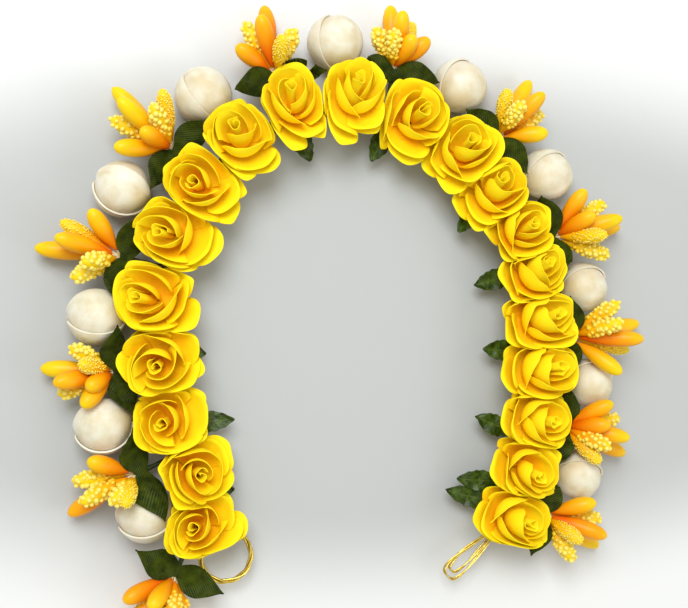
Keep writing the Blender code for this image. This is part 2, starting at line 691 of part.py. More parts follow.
def hairpin(mouth, forward, aside, length, half_width, level):
    """A strand that runs out from the bare end of the wire to a narrow bend and back."""
    shares = np.linspace(HAIRPIN_MOUTH, 1 - HAIRPIN_MOUTH, HAIRPIN_POINTS)
    out = np.sin(math.pi * shares) ** 0.7 * length
    wide = half_width * np.sign(0.5 - shares) * np.abs(np.sin(2 * math.pi * shares)) ** 0.6
    bend = mouth + np.outer(out, forward) + np.outer(wide, aside)
    bend[:, 2] += level
    inside = mouth - forward * STRAND_ROOT + np.array([0, 0, level])
    return np.vstack([inside + aside * STRAND_SPREAD, bend, inside - aside * STRAND_SPREAD])


def turned(direction, angle):
    """A level direction turned to the left, seen from above."""
    return direction * math.cos(angle) + np.cross((0, 0, 1), direction) * math.sin(angle)


def gold_wire(arch):
    """The doubled wire: a core that runs through the sleeve, with its strands opened into a loop at each end."""
    points = along_wire(arch, WIRE_CORE_RADIUS)
    last = len(points) - WIRE_SIDES
    caps = [list(range(WIRE_SIDES))[::-1], list(range(last, last + WIRE_SIDES))]
    core = new_object("core", points, skin_faces(False) + caps)
    pieces = []
    for station, way, turn, bend, sizes in (
        (-END_OVERHANG, -1, ROUND_LOOP_BEND, round_loop, [(radius,) for radius in ROUND_LOOP_RADII]),
        (arch.length + END_OVERHANG, 1, HAIRPIN_BEND, hairpin, list(zip(HAIRPIN_LENGTHS, HAIRPIN_HALF_WIDTHS))),
    ):
        forward = way * arch.frame(station)[0]
        sleeve_end = arch.point(station, 0, WIRE_HEIGHT)
        mouth = sleeve_end + forward * (BARE_END + SEAT_GAP)
        steps = np.array([-MM, SEAT_GAP, SEAT_GAP + BARE_END_TAPER, SEAT_GAP + BARE_END])
        radii = np.array([CORE_END_SHARE * WIRE_CORE_RADIUS] * 2 + [BARE_END_RADIUS] * 2)
        pieces.append(tube("bare_end", sleeve_end + np.outer(steps, forward),
                           [[radius] * BARE_END_SIDES for radius in radii]))
        out = turned(forward, turn)
        for size, level in zip(sizes, (STRAND_SPREAD, -STRAND_SPREAD)):
            path = bend(mouth, out, turned(out, math.pi / 2), *size, level)
            pieces.append(tube("strand", path, [[STRAND_RADIUS] * STRAND_SIDES] * len(path)))
    return fused("gold_wire", core, pieces, GOLD)


def main():
    for obj in list(bpy.data.objects):
        bpy.data.objects.remove(obj)
    arch = Arch()
    buds = [(bud_centre(arch, k), bud_radius(k)) for k in range(BUD_COUNT)]
    roses = [RosePlace(arch, k) for k in range(ROSE_COUNT)]
    gold_wire(arch)
    taped_stem(arch, buds)
    for index in range(ROSE_COUNT):
        rose(roses[index], index, buds)
    for index in range(BUD_COUNT):
        bud(arch, index)
    for index in range(CLUSTER_COUNT):
        cluster(arch, index, buds)
        leaf_pair(arch, index, buds, roses)


main()
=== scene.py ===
"""The looks of a hair garland: paper roses, jasmine buds, stamen pips and cloth leaves on a looped gold wire.

Lengths are in metres. A station is a distance along the wire from its left end, and an offset is a distance
out from the wire, away from the inside of the arch.
"""

import math
import random

import bpy
import numpy as np
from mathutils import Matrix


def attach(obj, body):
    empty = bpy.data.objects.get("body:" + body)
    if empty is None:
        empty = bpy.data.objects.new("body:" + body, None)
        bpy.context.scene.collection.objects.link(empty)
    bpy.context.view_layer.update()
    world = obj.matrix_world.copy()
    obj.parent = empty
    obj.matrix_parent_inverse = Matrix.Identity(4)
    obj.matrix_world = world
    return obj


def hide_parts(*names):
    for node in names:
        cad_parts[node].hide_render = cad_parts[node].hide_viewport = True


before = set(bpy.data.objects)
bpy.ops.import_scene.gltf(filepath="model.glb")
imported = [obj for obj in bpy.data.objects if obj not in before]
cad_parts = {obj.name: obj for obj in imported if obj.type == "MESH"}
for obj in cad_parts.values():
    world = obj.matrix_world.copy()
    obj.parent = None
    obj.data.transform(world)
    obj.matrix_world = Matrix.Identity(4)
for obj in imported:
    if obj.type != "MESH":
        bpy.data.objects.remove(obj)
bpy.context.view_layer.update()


# Gold wire: one brass-coloured wire, doubled and twisted by hand, that runs the whole length inside the tape.
# Its strands come out of a short wrapping and open into a round loop at the left end and a narrow hairpin at
# the right end.

MM = 0.001
UP = np.array([0.0, 0.0, 1.0])
ARCH = MM * np.array([
    (-45, -56), (-50, -35), (-55, -7), (-52, 19), (-40, 41), (-20, 56),
    (2, 60), (24, 52), (42, 33), (51, 7), (51, -23), (44, -55),
])
ARCH_STEPS = 40
WIRE_HEIGHT = 5 * MM
CORE_RADIUS = 0.62 * MM
END_OVERHANG = 3 * MM
SEAT_GAP = 0.3 * MM
BARE_END = 2.5 * MM
WRAPPING_RADIUS = 0.88 * MM
WRAPPING_WIRE = 0.3 * MM
WRAPPING_TURNS = 4.5
STRAND_ROOT = 1.5 * MM
STRAND_SIDES = 8
LOOP_CENTRE = 7.4 * MM
LOOP_RADIUS = 6.95 * MM
LOOP_MOUTH = 0.07 * math.pi
LOOP_BEND = math.radians(54)
# Number of strands, turns of the twist, how far each strand stands off, and its radius.
LOOP_STRANDS = (3, 3.5, 0.44 * MM, 0.34 * MM)
HAIRPIN_STRANDS = (2, 1.5, 0.28 * MM, 0.24 * MM)
# Length, half width and level of the two hairpins, one inside the other.
HAIRPINS = ((20 * MM, 2.7 * MM, 0.5 * MM), (18 * MM, 1.7 * MM, -0.5 * MM))
HAIRPIN_MOUTH = 0.03
HAIRPIN_BEND = math.radians(-38)
SHARPEST = math.radians(62)


def unit(vectors):
    """Each vector divided by its length."""
    return vectors / np.linalg.norm(vectors, axis=-1, keepdims=True)


def smooth_path(points, steps):
    """A Catmull-Rom curve: between each two points, the cubic whose end slopes are half the step between the
    points before and after."""
    ends = np.vstack([2 * points[0] - points[1], points, 2 * points[-1] - points[-2]])
    t = np.linspace(0, 1, steps, endpoint=False)[:, None]
    p0, p1, p2, p3 = (ends[k:len(ends) - 3 + k, None] for k in range(4))
    curve = 0.5 * (2 * p1 + (p2 - p0) * t + (2 * p0 - 5 * p1 + 4 * p2 - p3) * t ** 2
                   + (3 * p1 - p0 - 3 * p2 + p3) * t ** 3)
    return np.vstack([curve.reshape(-1, points.shape[1]), points[-1:]])


wire_line = smooth_path(ARCH, ARCH_STEPS)
wire_stations = np.concatenate([[0], np.cumsum(np.linalg.norm(np.diff(wire_line, axis=0), axis=1))])
wire_slopes = unit(np.gradient(wire_line, wire_stations, axis=0))
wire_length = wire_stations[-1]


def wire_frame(station):
    """(tangent, outward) at stations: the slope of the arch there, and that slope turned a quarter left."""
    x, y = unit(np.stack([np.interp(station, wire_stations, wire_slopes[:, k]) for k in (0, 1)], axis=-1)).T
    return np.stack([x, y, 0 * x], axis=-1), np.stack([-y, x, 0 * x], axis=-1)


def wire_point(station, offset, height):
    """The arch's point at a station, moved out by the offset and up to the height. Past its ends the arch
    runs on straight."""
    tangent, outward = wire_frame(station)
    x, y = (np.interp(station, wire_stations, wire_line[:, k]) for k in (0, 1))
    past = np.asarray(station - np.clip(station, 0, wire_length))
    return np.stack([x, y, height + 0 * x], axis=-1) + outward * offset + tangent * past[..., None]


def marked(places, along, across):
    """Places with two marks after each: how far along its piece it is, and a second measure or a tone."""
    shape = places.shape[:-1]
    return np.concatenate([places, np.stack([np.broadcast_to(along, shape), np.broadcast_to(across, shape)],
                                            axis=-1)], axis=-1)


def skin(rings, first, last):
    """Closed surfaces over rings of marked places, (copies, rings, corners, 5), with a point at each end."""
    copies, count, corners, width = rings.shape
    body = np.arange(count * corners).reshape(count, corners)
    after = np.roll(body, -1, axis=1)
    sides = np.stack([body[:-1], after[:-1], after[1:], body[1:]], axis=-1).reshape(-1, 4)
    start, end = np.full((2, corners), count * corners) + [[0], [1]]
    caps = np.vstack([np.stack([after[0], body[0], start], axis=-1),
                      np.stack([body[-1], after[-1], end], axis=-1)])
    points = np.concatenate([rings.reshape(copies, -1, width), first[:, None], last[:, None]], axis=1)
    shift = points.shape[1] * np.arange(copies)[:, None, None]
    return points.reshape(-1, width), [(sides + shift).reshape(-1, 4), (caps + shift).reshape(-1, 3)]


def tubes(paths, radius, sides, tone=0.0):
    """Round tubes along paths, (copies, points, 3): path + radius * (cos * aside + sin * over), where aside
    is level and square to the path, and over is square to both."""
    slope = unit(np.gradient(paths, axis=1))
    aside = unit(np.cross(slope, UP))[:, :, None]
    over = np.cross(slope[:, :, None], aside)
    turn = 2 * math.pi * np.arange(sides)[:, None] / sides
    radius = np.broadcast_to(radius, paths.shape[:2])[..., None, None]
    share = np.linspace(0, 1, paths.shape[1])
    rings = paths[:, :, None] + radius * (np.cos(turn) * aside + np.sin(turn) * over)
    ends = marked(paths, share, tone)
    return skin(marked(rings, share[:, None], tone), ends[:, 0], ends[:, -1])


def twisted(path, strands, turns, spread, radius):
    """Strands twisted round a path: each stands off by the spread, in a direction that turns evenly along."""
    slope = unit(np.gradient(path, axis=0))
    aside = unit(np.cross(slope, UP))
    over = np.cross(slope, aside)
    turn = turns * np.linspace(0, 1, len(path)) + np.arange(strands)[:, None] / strands
    turn = 2 * math.pi * turn[..., None]
    return tubes(path + spread * (np.cos(turn) * aside + np.sin(turn) * over), radius, STRAND_SIDES)


def joined(*surfaces):
    """Several surfaces as one: their points in a row, and their faces counted on."""
    starts = np.cumsum([0] + [len(points) for points, _ in surfaces])
    faces = [face + start for (_, faces), start in zip(surfaces, starts) for face in faces]
    return np.vstack([points for points, _ in surfaces]), faces


class Finish:
    """A surface finish: a material about one shader, with patterns linked to its colour and relief."""

    def __init__(self, name, colour, roughness, **sockets):
        self.material = bpy.data.materials.new(name)
        self.material.use_nodes = True
        self.nodes = self.material.node_tree.nodes
        self.links = self.material.node_tree.links
        self.shader = self.nodes["Principled BSDF"]
        self.shader.inputs["Base Color"].default_value = (*colour, 1)
        self.shader.inputs["Roughness"].default_value = roughness
        for socket, value in sockets.items():
            self.shader.inputs[socket.replace("_", " ")].default_value = value

    def node(self, kind, inputs, **settings):
        """A new node. An input is a value, or another node's output."""
        made = self.nodes.new(kind)
        for setting, value in settings.items():
            setattr(made, setting, value)
        for socket, value in inputs.items():
            if isinstance(value, bpy.types.NodeSocket):
                self.links.new(value, made.inputs[socket])
            elif isinstance(value, tuple) and len(value) == 3 and made.inputs[socket].type == "RGBA":
                made.inputs[socket].default_value = (*value, 1)
            else:
                made.inputs[socket].default_value = value
        return made

    def noise(self, size, detail=2.0, stretch=(1, 1, 1)):
        """Cloudy noise on the piece's own coordinates, with patches of about that size."""
        place = self.node("ShaderNodeTexCoord", {}).outputs["Object"]
        spread = self.node("ShaderNodeMapping", {"Vector": place, "Scale": tuple(k / size for k in stretch)})
        cloud = self.node("ShaderNodeTexNoise", {"Vector": spread.outputs[0], "Scale": 1.0, "Detail": detail})
        return cloud.outputs["Fac"]

    def mark(self, name):
        """One of the two marks that every point of a piece has."""
        return self.node("ShaderNodeAttribute", {}, attribute_name=name).outputs["Fac"]

    def worked(self, operation, first, second=0.0):
        """A number worked out from one or two others by a plain operation."""
        return self.node("ShaderNodeMath", {0: first, 1: second}, operation=operation).outputs[0]

    def ranged(self, value, low, high):
        """0 below the low end of a range, 1 above its high end, and smooth between."""
        inputs = {"Value": value, "From Min": low, "From Max": high}
        return self.node("ShaderNodeMapRange", inputs, interpolation_type="SMOOTHSTEP").outputs[0]

    def ramp(self, value, *stops):
        """A colour for each value, from stops of (value, colour)."""
        made = self.node("ShaderNodeValToRGB", {"Fac": value})
        places = made.color_ramp.elements
        for k, (stop, colour) in enumerate(stops):
            element = places[k] if k < 2 else places.new(stop)
            element.position = stop
            element.color = (*colour, 1)
        return made.outputs["Color"]

    def blend(self, share, first, second):
        """The first colour with a share of the second mixed in. The mix node numbers its colour sockets 6
        and 7, and its colour output 2."""
        inputs = {0: share, 6: first, 7: second}
        return self.node("ShaderNodeMix", inputs, data_type="RGBA").outputs[2]

    def coloured(self, colour):
        """The finish with that colour."""
        self.links.new(colour, self.shader.inputs["Base Color"])
        return self

    def raised(self, height, depth):
        """The finish with relief: the height's whole range stands for that depth. More relief adds to it."""
        bump = self.node("ShaderNodeBump", {"Height": height, "Distance": depth})
        if self.shader.inputs["Normal"].is_linked:
            self.links.new(self.shader.inputs["Normal"].links[0].from_socket, bump.inputs["Normal"])
        self.links.new(bump.outputs[0], self.shader.inputs["Normal"])
        return self


def piece(name, nodes, finish, surface):
    """A finished piece of the garland, which replaces some of the model's nodes: smooth, but for cut edges.
    The surface is (marked points, groups of faces)."""
    points, faces = surface
    mesh = bpy.data.meshes.new(name)
    mesh.from_pydata(points[:, :3].tolist(), [], [corners for group in faces for corners in group.tolist()])
    mesh.shade_smooth()
    mesh.set_sharp_from_angle(angle=SHARPEST)
    for mark, column in (("along", 3), ("across", 4)):
        values = np.ascontiguousarray(points[:, column], dtype=np.float32)
        mesh.attributes.new(mark, "FLOAT", "POINT").data.foreach_set("value", values)
    mesh.materials.append(finish.material)
    made = bpy.data.objects.new(name, mesh)
    bpy.context.scene.collection.objects.link(made)
    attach(made, "root")
    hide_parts(*nodes)
    return made


def wire_end(station, way, bend):
    """(end of the tape, mouth of the wrapping, way that the wire points, way of its loop, aside from that)"""
    forward = way * wire_frame(station)[0]
    tape_end = wire_point(station, 0, WIRE_HEIGHT)
    out = forward * math.cos(bend) + np.cross(UP, forward) * math.sin(bend)
    return tape_end, tape_end + forward * (BARE_END + SEAT_GAP), forward, out, np.cross(UP, out)


def wrapping(tape_end, forward):
    """The end of the wire wound round its own strands: a helix of even pitch on a thin core, which starts a
    little inside the tape."""
    share = np.linspace(0, 1, 90)[:, None]
    turn = 2 * math.pi * WRAPPING_TURNS * share
    round_core = np.cos(turn) * np.cross(UP, forward) + np.sin(turn) * UP
    helix = tape_end + forward * BARE_END * share + WRAPPING_RADIUS * round_core
    core = tape_end + forward * (BARE_END + SEAT_GAP) * np.array([[-0.3], [1.0]])
    return joined(tubes(helix[None], WRAPPING_WIRE, STRAND_SIDES), tubes(core[None], WRAPPING_RADIUS, 12))


def round_loop(mouth, out, aside):
    """Strands loosely twisted about a ring: the centre plus the radius, turned from one side of the mouth to
    the other, with both ends led into the wrapping."""
    turn = np.linspace(math.pi - LOOP_MOUTH, LOOP_MOUTH - math.pi, 29)[:, None]
    ring = mouth + out * LOOP_CENTRE + LOOP_RADIUS * (np.cos(turn) * out + np.sin(turn) * aside)
    inside = mouth - out * STRAND_ROOT
    return twisted(smooth_path(np.vstack([inside, ring, inside]), 8), *LOOP_STRANDS)


def hairpin(mouth, out, aside, length, half_width, level):
    """Strands side by side along a hairpin: it runs out by length * sin(pi s) ** 0.7 as it swings aside by
    half_width * |sin(2 pi s)| ** 0.6, first to one side and then to the other."""
    share = np.linspace(HAIRPIN_MOUTH, 1 - HAIRPIN_MOUTH, 121)[:, None]
    reach = length * np.sin(math.pi * share) ** 0.7
    swing = half_width * np.sign(0.5 - share) * np.abs(np.sin(2 * math.pi * share)) ** 0.6
    inside = mouth - out * STRAND_ROOT
    path = np.vstack([inside, mouth + reach * out + swing * aside, inside]) + level * UP
    return twisted(path, *HAIRPIN_STRANDS)


gold = Finish("gold_wire", (0.8, 0.55, 0.14), 0.3, Metallic=1.0)
gold.coloured(gold.ramp(gold.noise(2 * MM), (0.3, (0.55, 0.38, 0.05)), (0.65, (0.85, 0.68, 0.16))))
gold.raised(gold.noise(0.25 * MM), 0.02 * MM)

left_end, right_end = -END_OVERHANG, wire_length + END_OVERHANG
left_tape, left_mouth, left_way, left_out, left_aside = wire_end(left_end, -1, LOOP_BEND)
right_tape, right_mouth, right_way, right_out, right_aside = wire_end(right_end, 1, HAIRPIN_BEND)
core_path = wire_point(np.linspace(left_end, right_end, 160), 0, WIRE_HEIGHT)
piece("twisted_gold_wire", ["gold_wire"], gold, joined(
    tubes(core_path[None], CORE_RADIUS, STRAND_SIDES),
    wrapping(left_tape, left_way),
    wrapping(right_tape, right_way),
    round_loop(left_mouth, left_out, left_aside),
    *(hairpin(right_mouth, right_out, right_aside, *sizes) for sizes in HAIRPINS),
))


# Taped stem: waxy green crepe tape wound round the wire from end to end, with each turn lapped over the last.
# It binds in the taped stalks of the buds and sprays.

TAPE_RADIUS = 1.72 * MM
TAPE_LAP = 0.14 * MM
TAPE_PITCH = 5.5 * MM
STALK_RADIUS = 0.66 * MM
STALK_START = 1.5 * MM
BUD_PITCHES = MM * np.array([25.5, 25, 28, 26, 30.5, 28, 28.5, 28, 24, 24])
BUD_STATIONS = 7.5 * MM + np.concatenate([[0], np.cumsum(BUD_PITCHES)])
BUD_OFFSETS = MM * np.array([12.5, 18, 17, 18.5, 17.5, 18.5, 17, 18.5, 19, 20, 21])
BUD_RADII = MM * np.array([7.6] * 8 + [7.1] * 3)
BUD_SEAT = 0.83
BUD_CENTRES = wire_point(BUD_STATIONS, BUD_OFFSETS[:, None], BUD_SEAT * BUD_RADII)
BUDS = list(zip(BUD_CENTRES, BUD_RADII))
SPRAY_STATIONS = np.concatenate([[-1.5 * MM], (BUD_STATIONS[1:] + BUD_STATIONS[:-1]) / 2, [287 * MM]])
SPRAY_SWINGS = np.radians([-46, -8, 0, 0, 0, 6, -8, 0, 0, 0, 0, 8])[:, None]
SPRAY_OFFSET = 11 * MM
SPRAY_HEIGHT = 7 * MM

# A spray is tied off the wire in the way that it points, which is the outward way swung aside.
along_wire, off_wire = wire_frame(SPRAY_STATIONS)
spray_ways = off_wire * np.cos(SPRAY_SWINGS) + along_wire * np.sin(SPRAY_SWINGS)
spray_ties = wire_point(SPRAY_STATIONS, 0, SPRAY_HEIGHT) + spray_ways * SPRAY_OFFSET


def wound_tape():
    """A tube along the wire whose radius climbs by the lap over each turn of the tape, then drops to the
    next: radius + lap * fraction(turn + station / pitch)."""
    station = np.linspace(left_end, right_end, 520)
    corners = 14
    turn = np.arange(corners) / corners
    lap = (turn + station[:, None] / TAPE_PITCH) % 1
    _, outward = wire_frame(station)
    radial = (np.cos(2 * math.pi * turn)[:, None] * outward[:, None]
              + np.sin(2 * math.pi * turn)[:, None] * UP)
    centres = wire_point(station, 0, WIRE_HEIGHT)
    rings = centres[:, None] + (TAPE_RADIUS + TAPE_LAP * lap)[..., None] * radial
    ends = marked(centres, 0, 0)
    return skin(marked(rings, station[:, None] / wire_length, lap)[None], ends[None, 0], ends[None, -1])


def stalks():
    """Straight taped stalks from the wire to the foot of each bud and the tie of each spray. Their radius
    swells and shrinks a little along them."""
    _, outward = wire_frame(BUD_STATIONS)
    starts = wire_point(np.concatenate([BUD_STATIONS, SPRAY_STATIONS]), STALK_START, WIRE_HEIGHT)
    ends = np.vstack([BUD_CENTRES - outward * (BUD_RADII[:, None] + 0.1 * MM), spray_ties])
    share = np.linspace(0, 1, 15)
    paths = starts[:, None] + (ends - starts)[:, None] * share[:, None]
    return tubes(paths, STALK_RADIUS * (1 + 0.08 * np.sin(19 * share)), 9)


tape = Finish("green_crepe_tape", (0.02, 0.07, 0.02), 0.6)
tape.coloured(tape.ramp(tape.noise(1.6 * MM, 4.0), (0.3, (0.01, 0.022, 0.004)), (0.7, (0.035, 0.06, 0.01))))
tape.raised(tape.noise(0.3 * MM, 3.0, (1, 1, 0.4)), 0.12 * MM)
piece("wound_tape", ["taped_stem"], tape, joined(wound_tape(), stalks()))


# Inner leaves: crumpled leaves of bright green waxed paper with cut edges, wound in with the tape so that
# they stick out inside the arch, under the roses.

INNER_LEAF_STATIONS = MM * np.array([9, 28, 50, 81, 129, 158, 195, 219, 243, 267, 282, 288])
INNER_LEAF_REACHES = MM * np.array([13, 17, 13, 13, 13, 14.5, 14.5, 14.5, 14, 14.5, 16, 18])
INNER_LEAF_WIDTH = 6.4 * MM
INNER_LEAF_ROOT = 1.6 * MM
INNER_LEAF_THICKNESS = 0.25 * MM
INNER_LEAF_TEETH = 5.5
TOOTH_DEPTH = 0.13
INNER_LEAF_SHARES = np.array([(0, 0.3), (0.25, 0.85), (0.5, 1.0), (0.75, 0.8), (0.92, 0.38), (1, 0.05)])
INNER_LEAF_SLANT = 0.25


def shell(middle, thickness):
    """Closed thin sheets about grids of marked places, (copies, rows, columns, 5). Front and back lie half
    the thickness off along the normal, the cross product of the two gradients, and a strip closes the rim."""
    copies, rows, columns, width = middle.shape
    half = np.zeros_like(middle)
    half[..., :3] = unit(np.cross(*np.gradient(middle[..., :3], axis=(1, 2)))) * thickness / 2
    front = np.arange(rows * columns).reshape(rows, columns)
    back = front + rows * columns
    corners = [front[:-1, :-1], front[1:, :-1], front[1:, 1:], front[:-1, 1:]]
    cells = np.stack(corners, axis=-1).reshape(-1, 4)
    rim = np.concatenate([front[0, :-1], front[:-1, -1], front[-1, :0:-1], front[:0:-1, 0]])
    after = np.roll(rim, -1)
    strip = np.stack([rim, after, after + rows * columns, rim + rows * columns], axis=-1)
    faces = np.vstack([cells, cells[:, ::-1] + rows * columns, strip])
    sides = [side.reshape(copies, -1, width) for side in (middle + half, middle - half)]
    points = np.concatenate(sides, axis=1)
    shift = points.shape[1] * np.arange(copies)[:, None, None]
    return points.reshape(-1, width), [(faces + shift).reshape(-1, 4)]


def inner_leaf(station, reach, draw):
    """A leaf blade: its half width follows the shares along it, with teeth cut into its edge. Its height
    twists by side * cos(4 pi t), with two waves of creases on the slant, and it is dished across."""
    tangent, outward = wire_frame(station)
    slant = draw.uniform(-INNER_LEAF_SLANT, INNER_LEAF_SLANT)
    way = unit(tangent * slant - outward + UP * draw.uniform(-0.05, 0.1))
    side = unit(np.cross(way, UP))
    t = np.linspace(0, 1, 29)[:, None]
    s = np.linspace(-1, 1, 11)
    profile = smooth_path(INNER_LEAF_SHARES, 8)
    teeth = 1 - TOOTH_DEPTH * np.abs(s) ** 3 * np.abs((INNER_LEAF_TEETH * t + draw.random()) % 1 * 2 - 1)
    half = INNER_LEAF_WIDTH / 2 * np.interp(t, *profile.T) * teeth
    phase = draw.uniform(0, 6)
    twist = -0.45 * s * np.cos(4 * math.pi * t)
    creases = 0.22 * np.sin(15 * t + 2.3 * s + phase) * (0.3 + np.abs(s))
    creases = creases + 0.13 * np.sin(31 * t - 5 * s + 2 * phase)
    dish = 0.5 * np.abs(s) ** 1.5 - 0.25
    rise = MM * (twist + creases + dish) * t ** 0.3
    root = wire_point(station, -INNER_LEAF_ROOT, WIRE_HEIGHT)
    length = (reach - INNER_LEAF_ROOT) * t * (1 - 0.05 * np.abs(np.sin(4 * s + phase)))
    aside = half * s + draw.uniform(-1.6, 1.6) * MM * t ** 2
    places = root + length[..., None] * way + aside[..., None] * side + rise[..., None] * UP
    return marked(places, t, s)


leaf_draw = random.Random(400)
inner_leaves = [inner_leaf(*where, leaf_draw) for where in zip(INNER_LEAF_STATIONS, INNER_LEAF_REACHES)]
leaf_paper = Finish("waxed_leaf_paper", (0.03, 0.09, 0.01), 0.42)
vein = leaf_paper.worked("ABSOLUTE", leaf_paper.mark("across"))
leaf_green = leaf_paper.ramp(
    leaf_paper.noise(1.8 * MM, 3.0), (0.32, (0.012, 0.03, 0.002)), (0.68, (0.06, 0.12, 0.008)))
leaf_paper.coloured(leaf_paper.blend(leaf_paper.ranged(vein, 0.1, 0.02), leaf_green, (0.07, 0.12, 0.015)))
leaf_paper.raised(leaf_paper.noise(0.8 * MM, 3.0), 0.25 * MM)
piece("inner_leaves", ["taped_stem"], leaf_paper,
      shell(np.array(inner_leaves), INNER_LEAF_THICKNESS))


# Paper roses: each is made of rings of thick yellow paper petals, cut round, curled at the rim and glued one
# over the other about a rolled heart, on a short green wire that is taped to the stem.

ROSE_PITCHES = MM * np.array([15, 15, 16, 16, 18, 15, 16, 17, 16, 17, 17, 15, 13, 12.5, 13.5, 14, 14, 14, 15])
ROSE_STATIONS = 1.5 * MM + np.concatenate([[0], np.cumsum(ROSE_PITCHES)])
ROSE_COUNT = len(ROSE_STATIONS)
ROSE_NODES = [f"rose_{number:02d}" for number in range(1, ROSE_COUNT + 1)]
ARCH_TOP = (ROSE_COUNT - 1) / 2
ROSE_OFFSETS = MM * np.array([-1, -4, 1, 0, 2, 1, 1, 2, 3, 2, 0, 0, -1, 2, 2, 1, 1, 2, 2, 1])
ROSE_HANGS = MM * np.array([2, 0, 1, 0, 0, 0, 3, 2, 2.5, 4, 1, 0, 0, 0, 0, 0, 0, 0, 0, 1])
ROSE_RADIUS = 10.8 * MM
ROSE_HEIGHT = 10.6 * MM
ROSE_FOOT_RADIUS = 1.0 * MM
ROSE_HEAD_HEIGHT = 13 * MM
ROSE_FOOT_HEIGHT = WIRE_HEIGHT + 2.2 * MM
UNDERSIDE_SLOPE = 0.5
UNDERSIDE_REACH = 1.1 * ROSE_RADIUS
ROSE_GAP = 0.25 * MM
FREE_SHARE = 0.35
SHINGLE_SLOPE = 0.55
HEAD_SLIDE = -0.16
LEAN_PER_OFFSET = math.radians(5) / MM
MOST_LEAN = math.radians(21)
ROSE_OVERLAP = 2.2 * MM
WALL_ROUNDING = 0.2
MOST_ROUNDED = 1.4
# How far along and out each heart stands from the middle of its rose: the cups were pushed over in wiring.
HEART_SHIFTS = MM * np.array([
    (0.5, 3.5), (-2, 2), (-1, 2.5), (-2.5, 2.5), (-1, 5), (-3, 4.5), (-3, 2.5), (-1, 3.5), (-1, 4), (0, 5),
    (2, 2.5), (0, 3.5), (-2, 4.5), (0, 2.5), (-1.5, 3.5), (-1, 4.5), (0, 5), (1, 3.5), (3, 2), (1.5, 4),
])
PETAL_ROWS = 15
PETAL_COLUMNS = 25
PETAL_THICKNESS = 0.17 * MM
PETAL_BUD_GAP = 1.2 * MM
CORNER_FILL = 0.05
RIM_ROLL = 0.045
ROLL_START = 0.78
RIM_WAVE = 0.03
RIM_FRILL = 0.012
PETAL_POINT = 0.06
POINT_WIDTH = 0.26
LAYER_TURN = 2.4
# A draw times this is any phase of a wave.
ANY_PHASE = 6.3
PETAL_LAYERS = (
    # Petals, half width in degrees, overlap swing, rounding of the rim, curl of its sides and share of the
    # heart's shift. Then the four points of the curve from a petal's foot to its rim, each a share of the
    # rose's radius and of its height.
    (5, 44, 0.06, 0.60, 0.06, 0.0, ((0.08, 0.09), (0.66, 0.03), (0.86, 0.43), (0.96, 0.47))),
    (4, 53, 0.07, 0.42, 0.10, 0.3, ((0.08, 0.12), (0.66, 0.10), (0.80, 0.58), (0.87, 0.73))),
    (3, 64, 0.08, 0.38, 0.14, 0.8, ((0.08, 0.16), (0.66, 0.20), (0.68, 0.80), (0.56, 0.92))),
    (2, 94, 0.09, 0.34, 0.14, 1.0, ((0.06, 0.20), (0.44, 0.28), (0.42, 0.86), (0.32, 1.00))),
)
HANGING_LAYERS = 2
HANG_SHARE = 0.5
END_ROOM = 8 * MM
HEART_TURNS = 1.3
HEART_COLUMNS = 48
HEART_RADII = (0.17, 0.05)
HEART_FOOT = 0.3
CALYX_RISE = 1.2 * MM
CALYX_RADII = (0.8 * MM, 0.75 * MM, 1.3 * MM)


def clear_of_buds(points, margin, depth=4 * MM, fade=4 * MM):
    """Moves what lies in or near a bud straight out of it, so that what was deeper stays deeper."""
    for centre, radius in BUDS:
        away = points - centre
        distance = np.linalg.norm(away, axis=-1, keepdims=True)
        least = radius + margin
        pressed = least + fade * np.clip((distance - least + depth) / (fade + depth), 0, 1)
        points = np.where(distance < least + fade, centre + away / distance * pressed, points)
    return points


def wall_between(index, other):
    """The plane where two roses press on each other: (point, normal, whether the first rose lies over the
    other). It leans so that the rose nearer the crest is over. The crest is a little left of the arch's top,
    so the left one of the two top roses is over."""
    crest = ARCH_TOP - 0.25
    station = (ROSE_STATIONS[index] + ROSE_STATIONS[other]) / 2
    tangent, _ = wire_frame(station)
    over = 1 if abs(index - crest) < abs(other - crest) else -1
    normal = unit(tangent * (other - index) - UP * over * SHINGLE_SLOPE)
    return wire_point(station, 0, ROSE_HEAD_HEIGHT), normal, over > 0


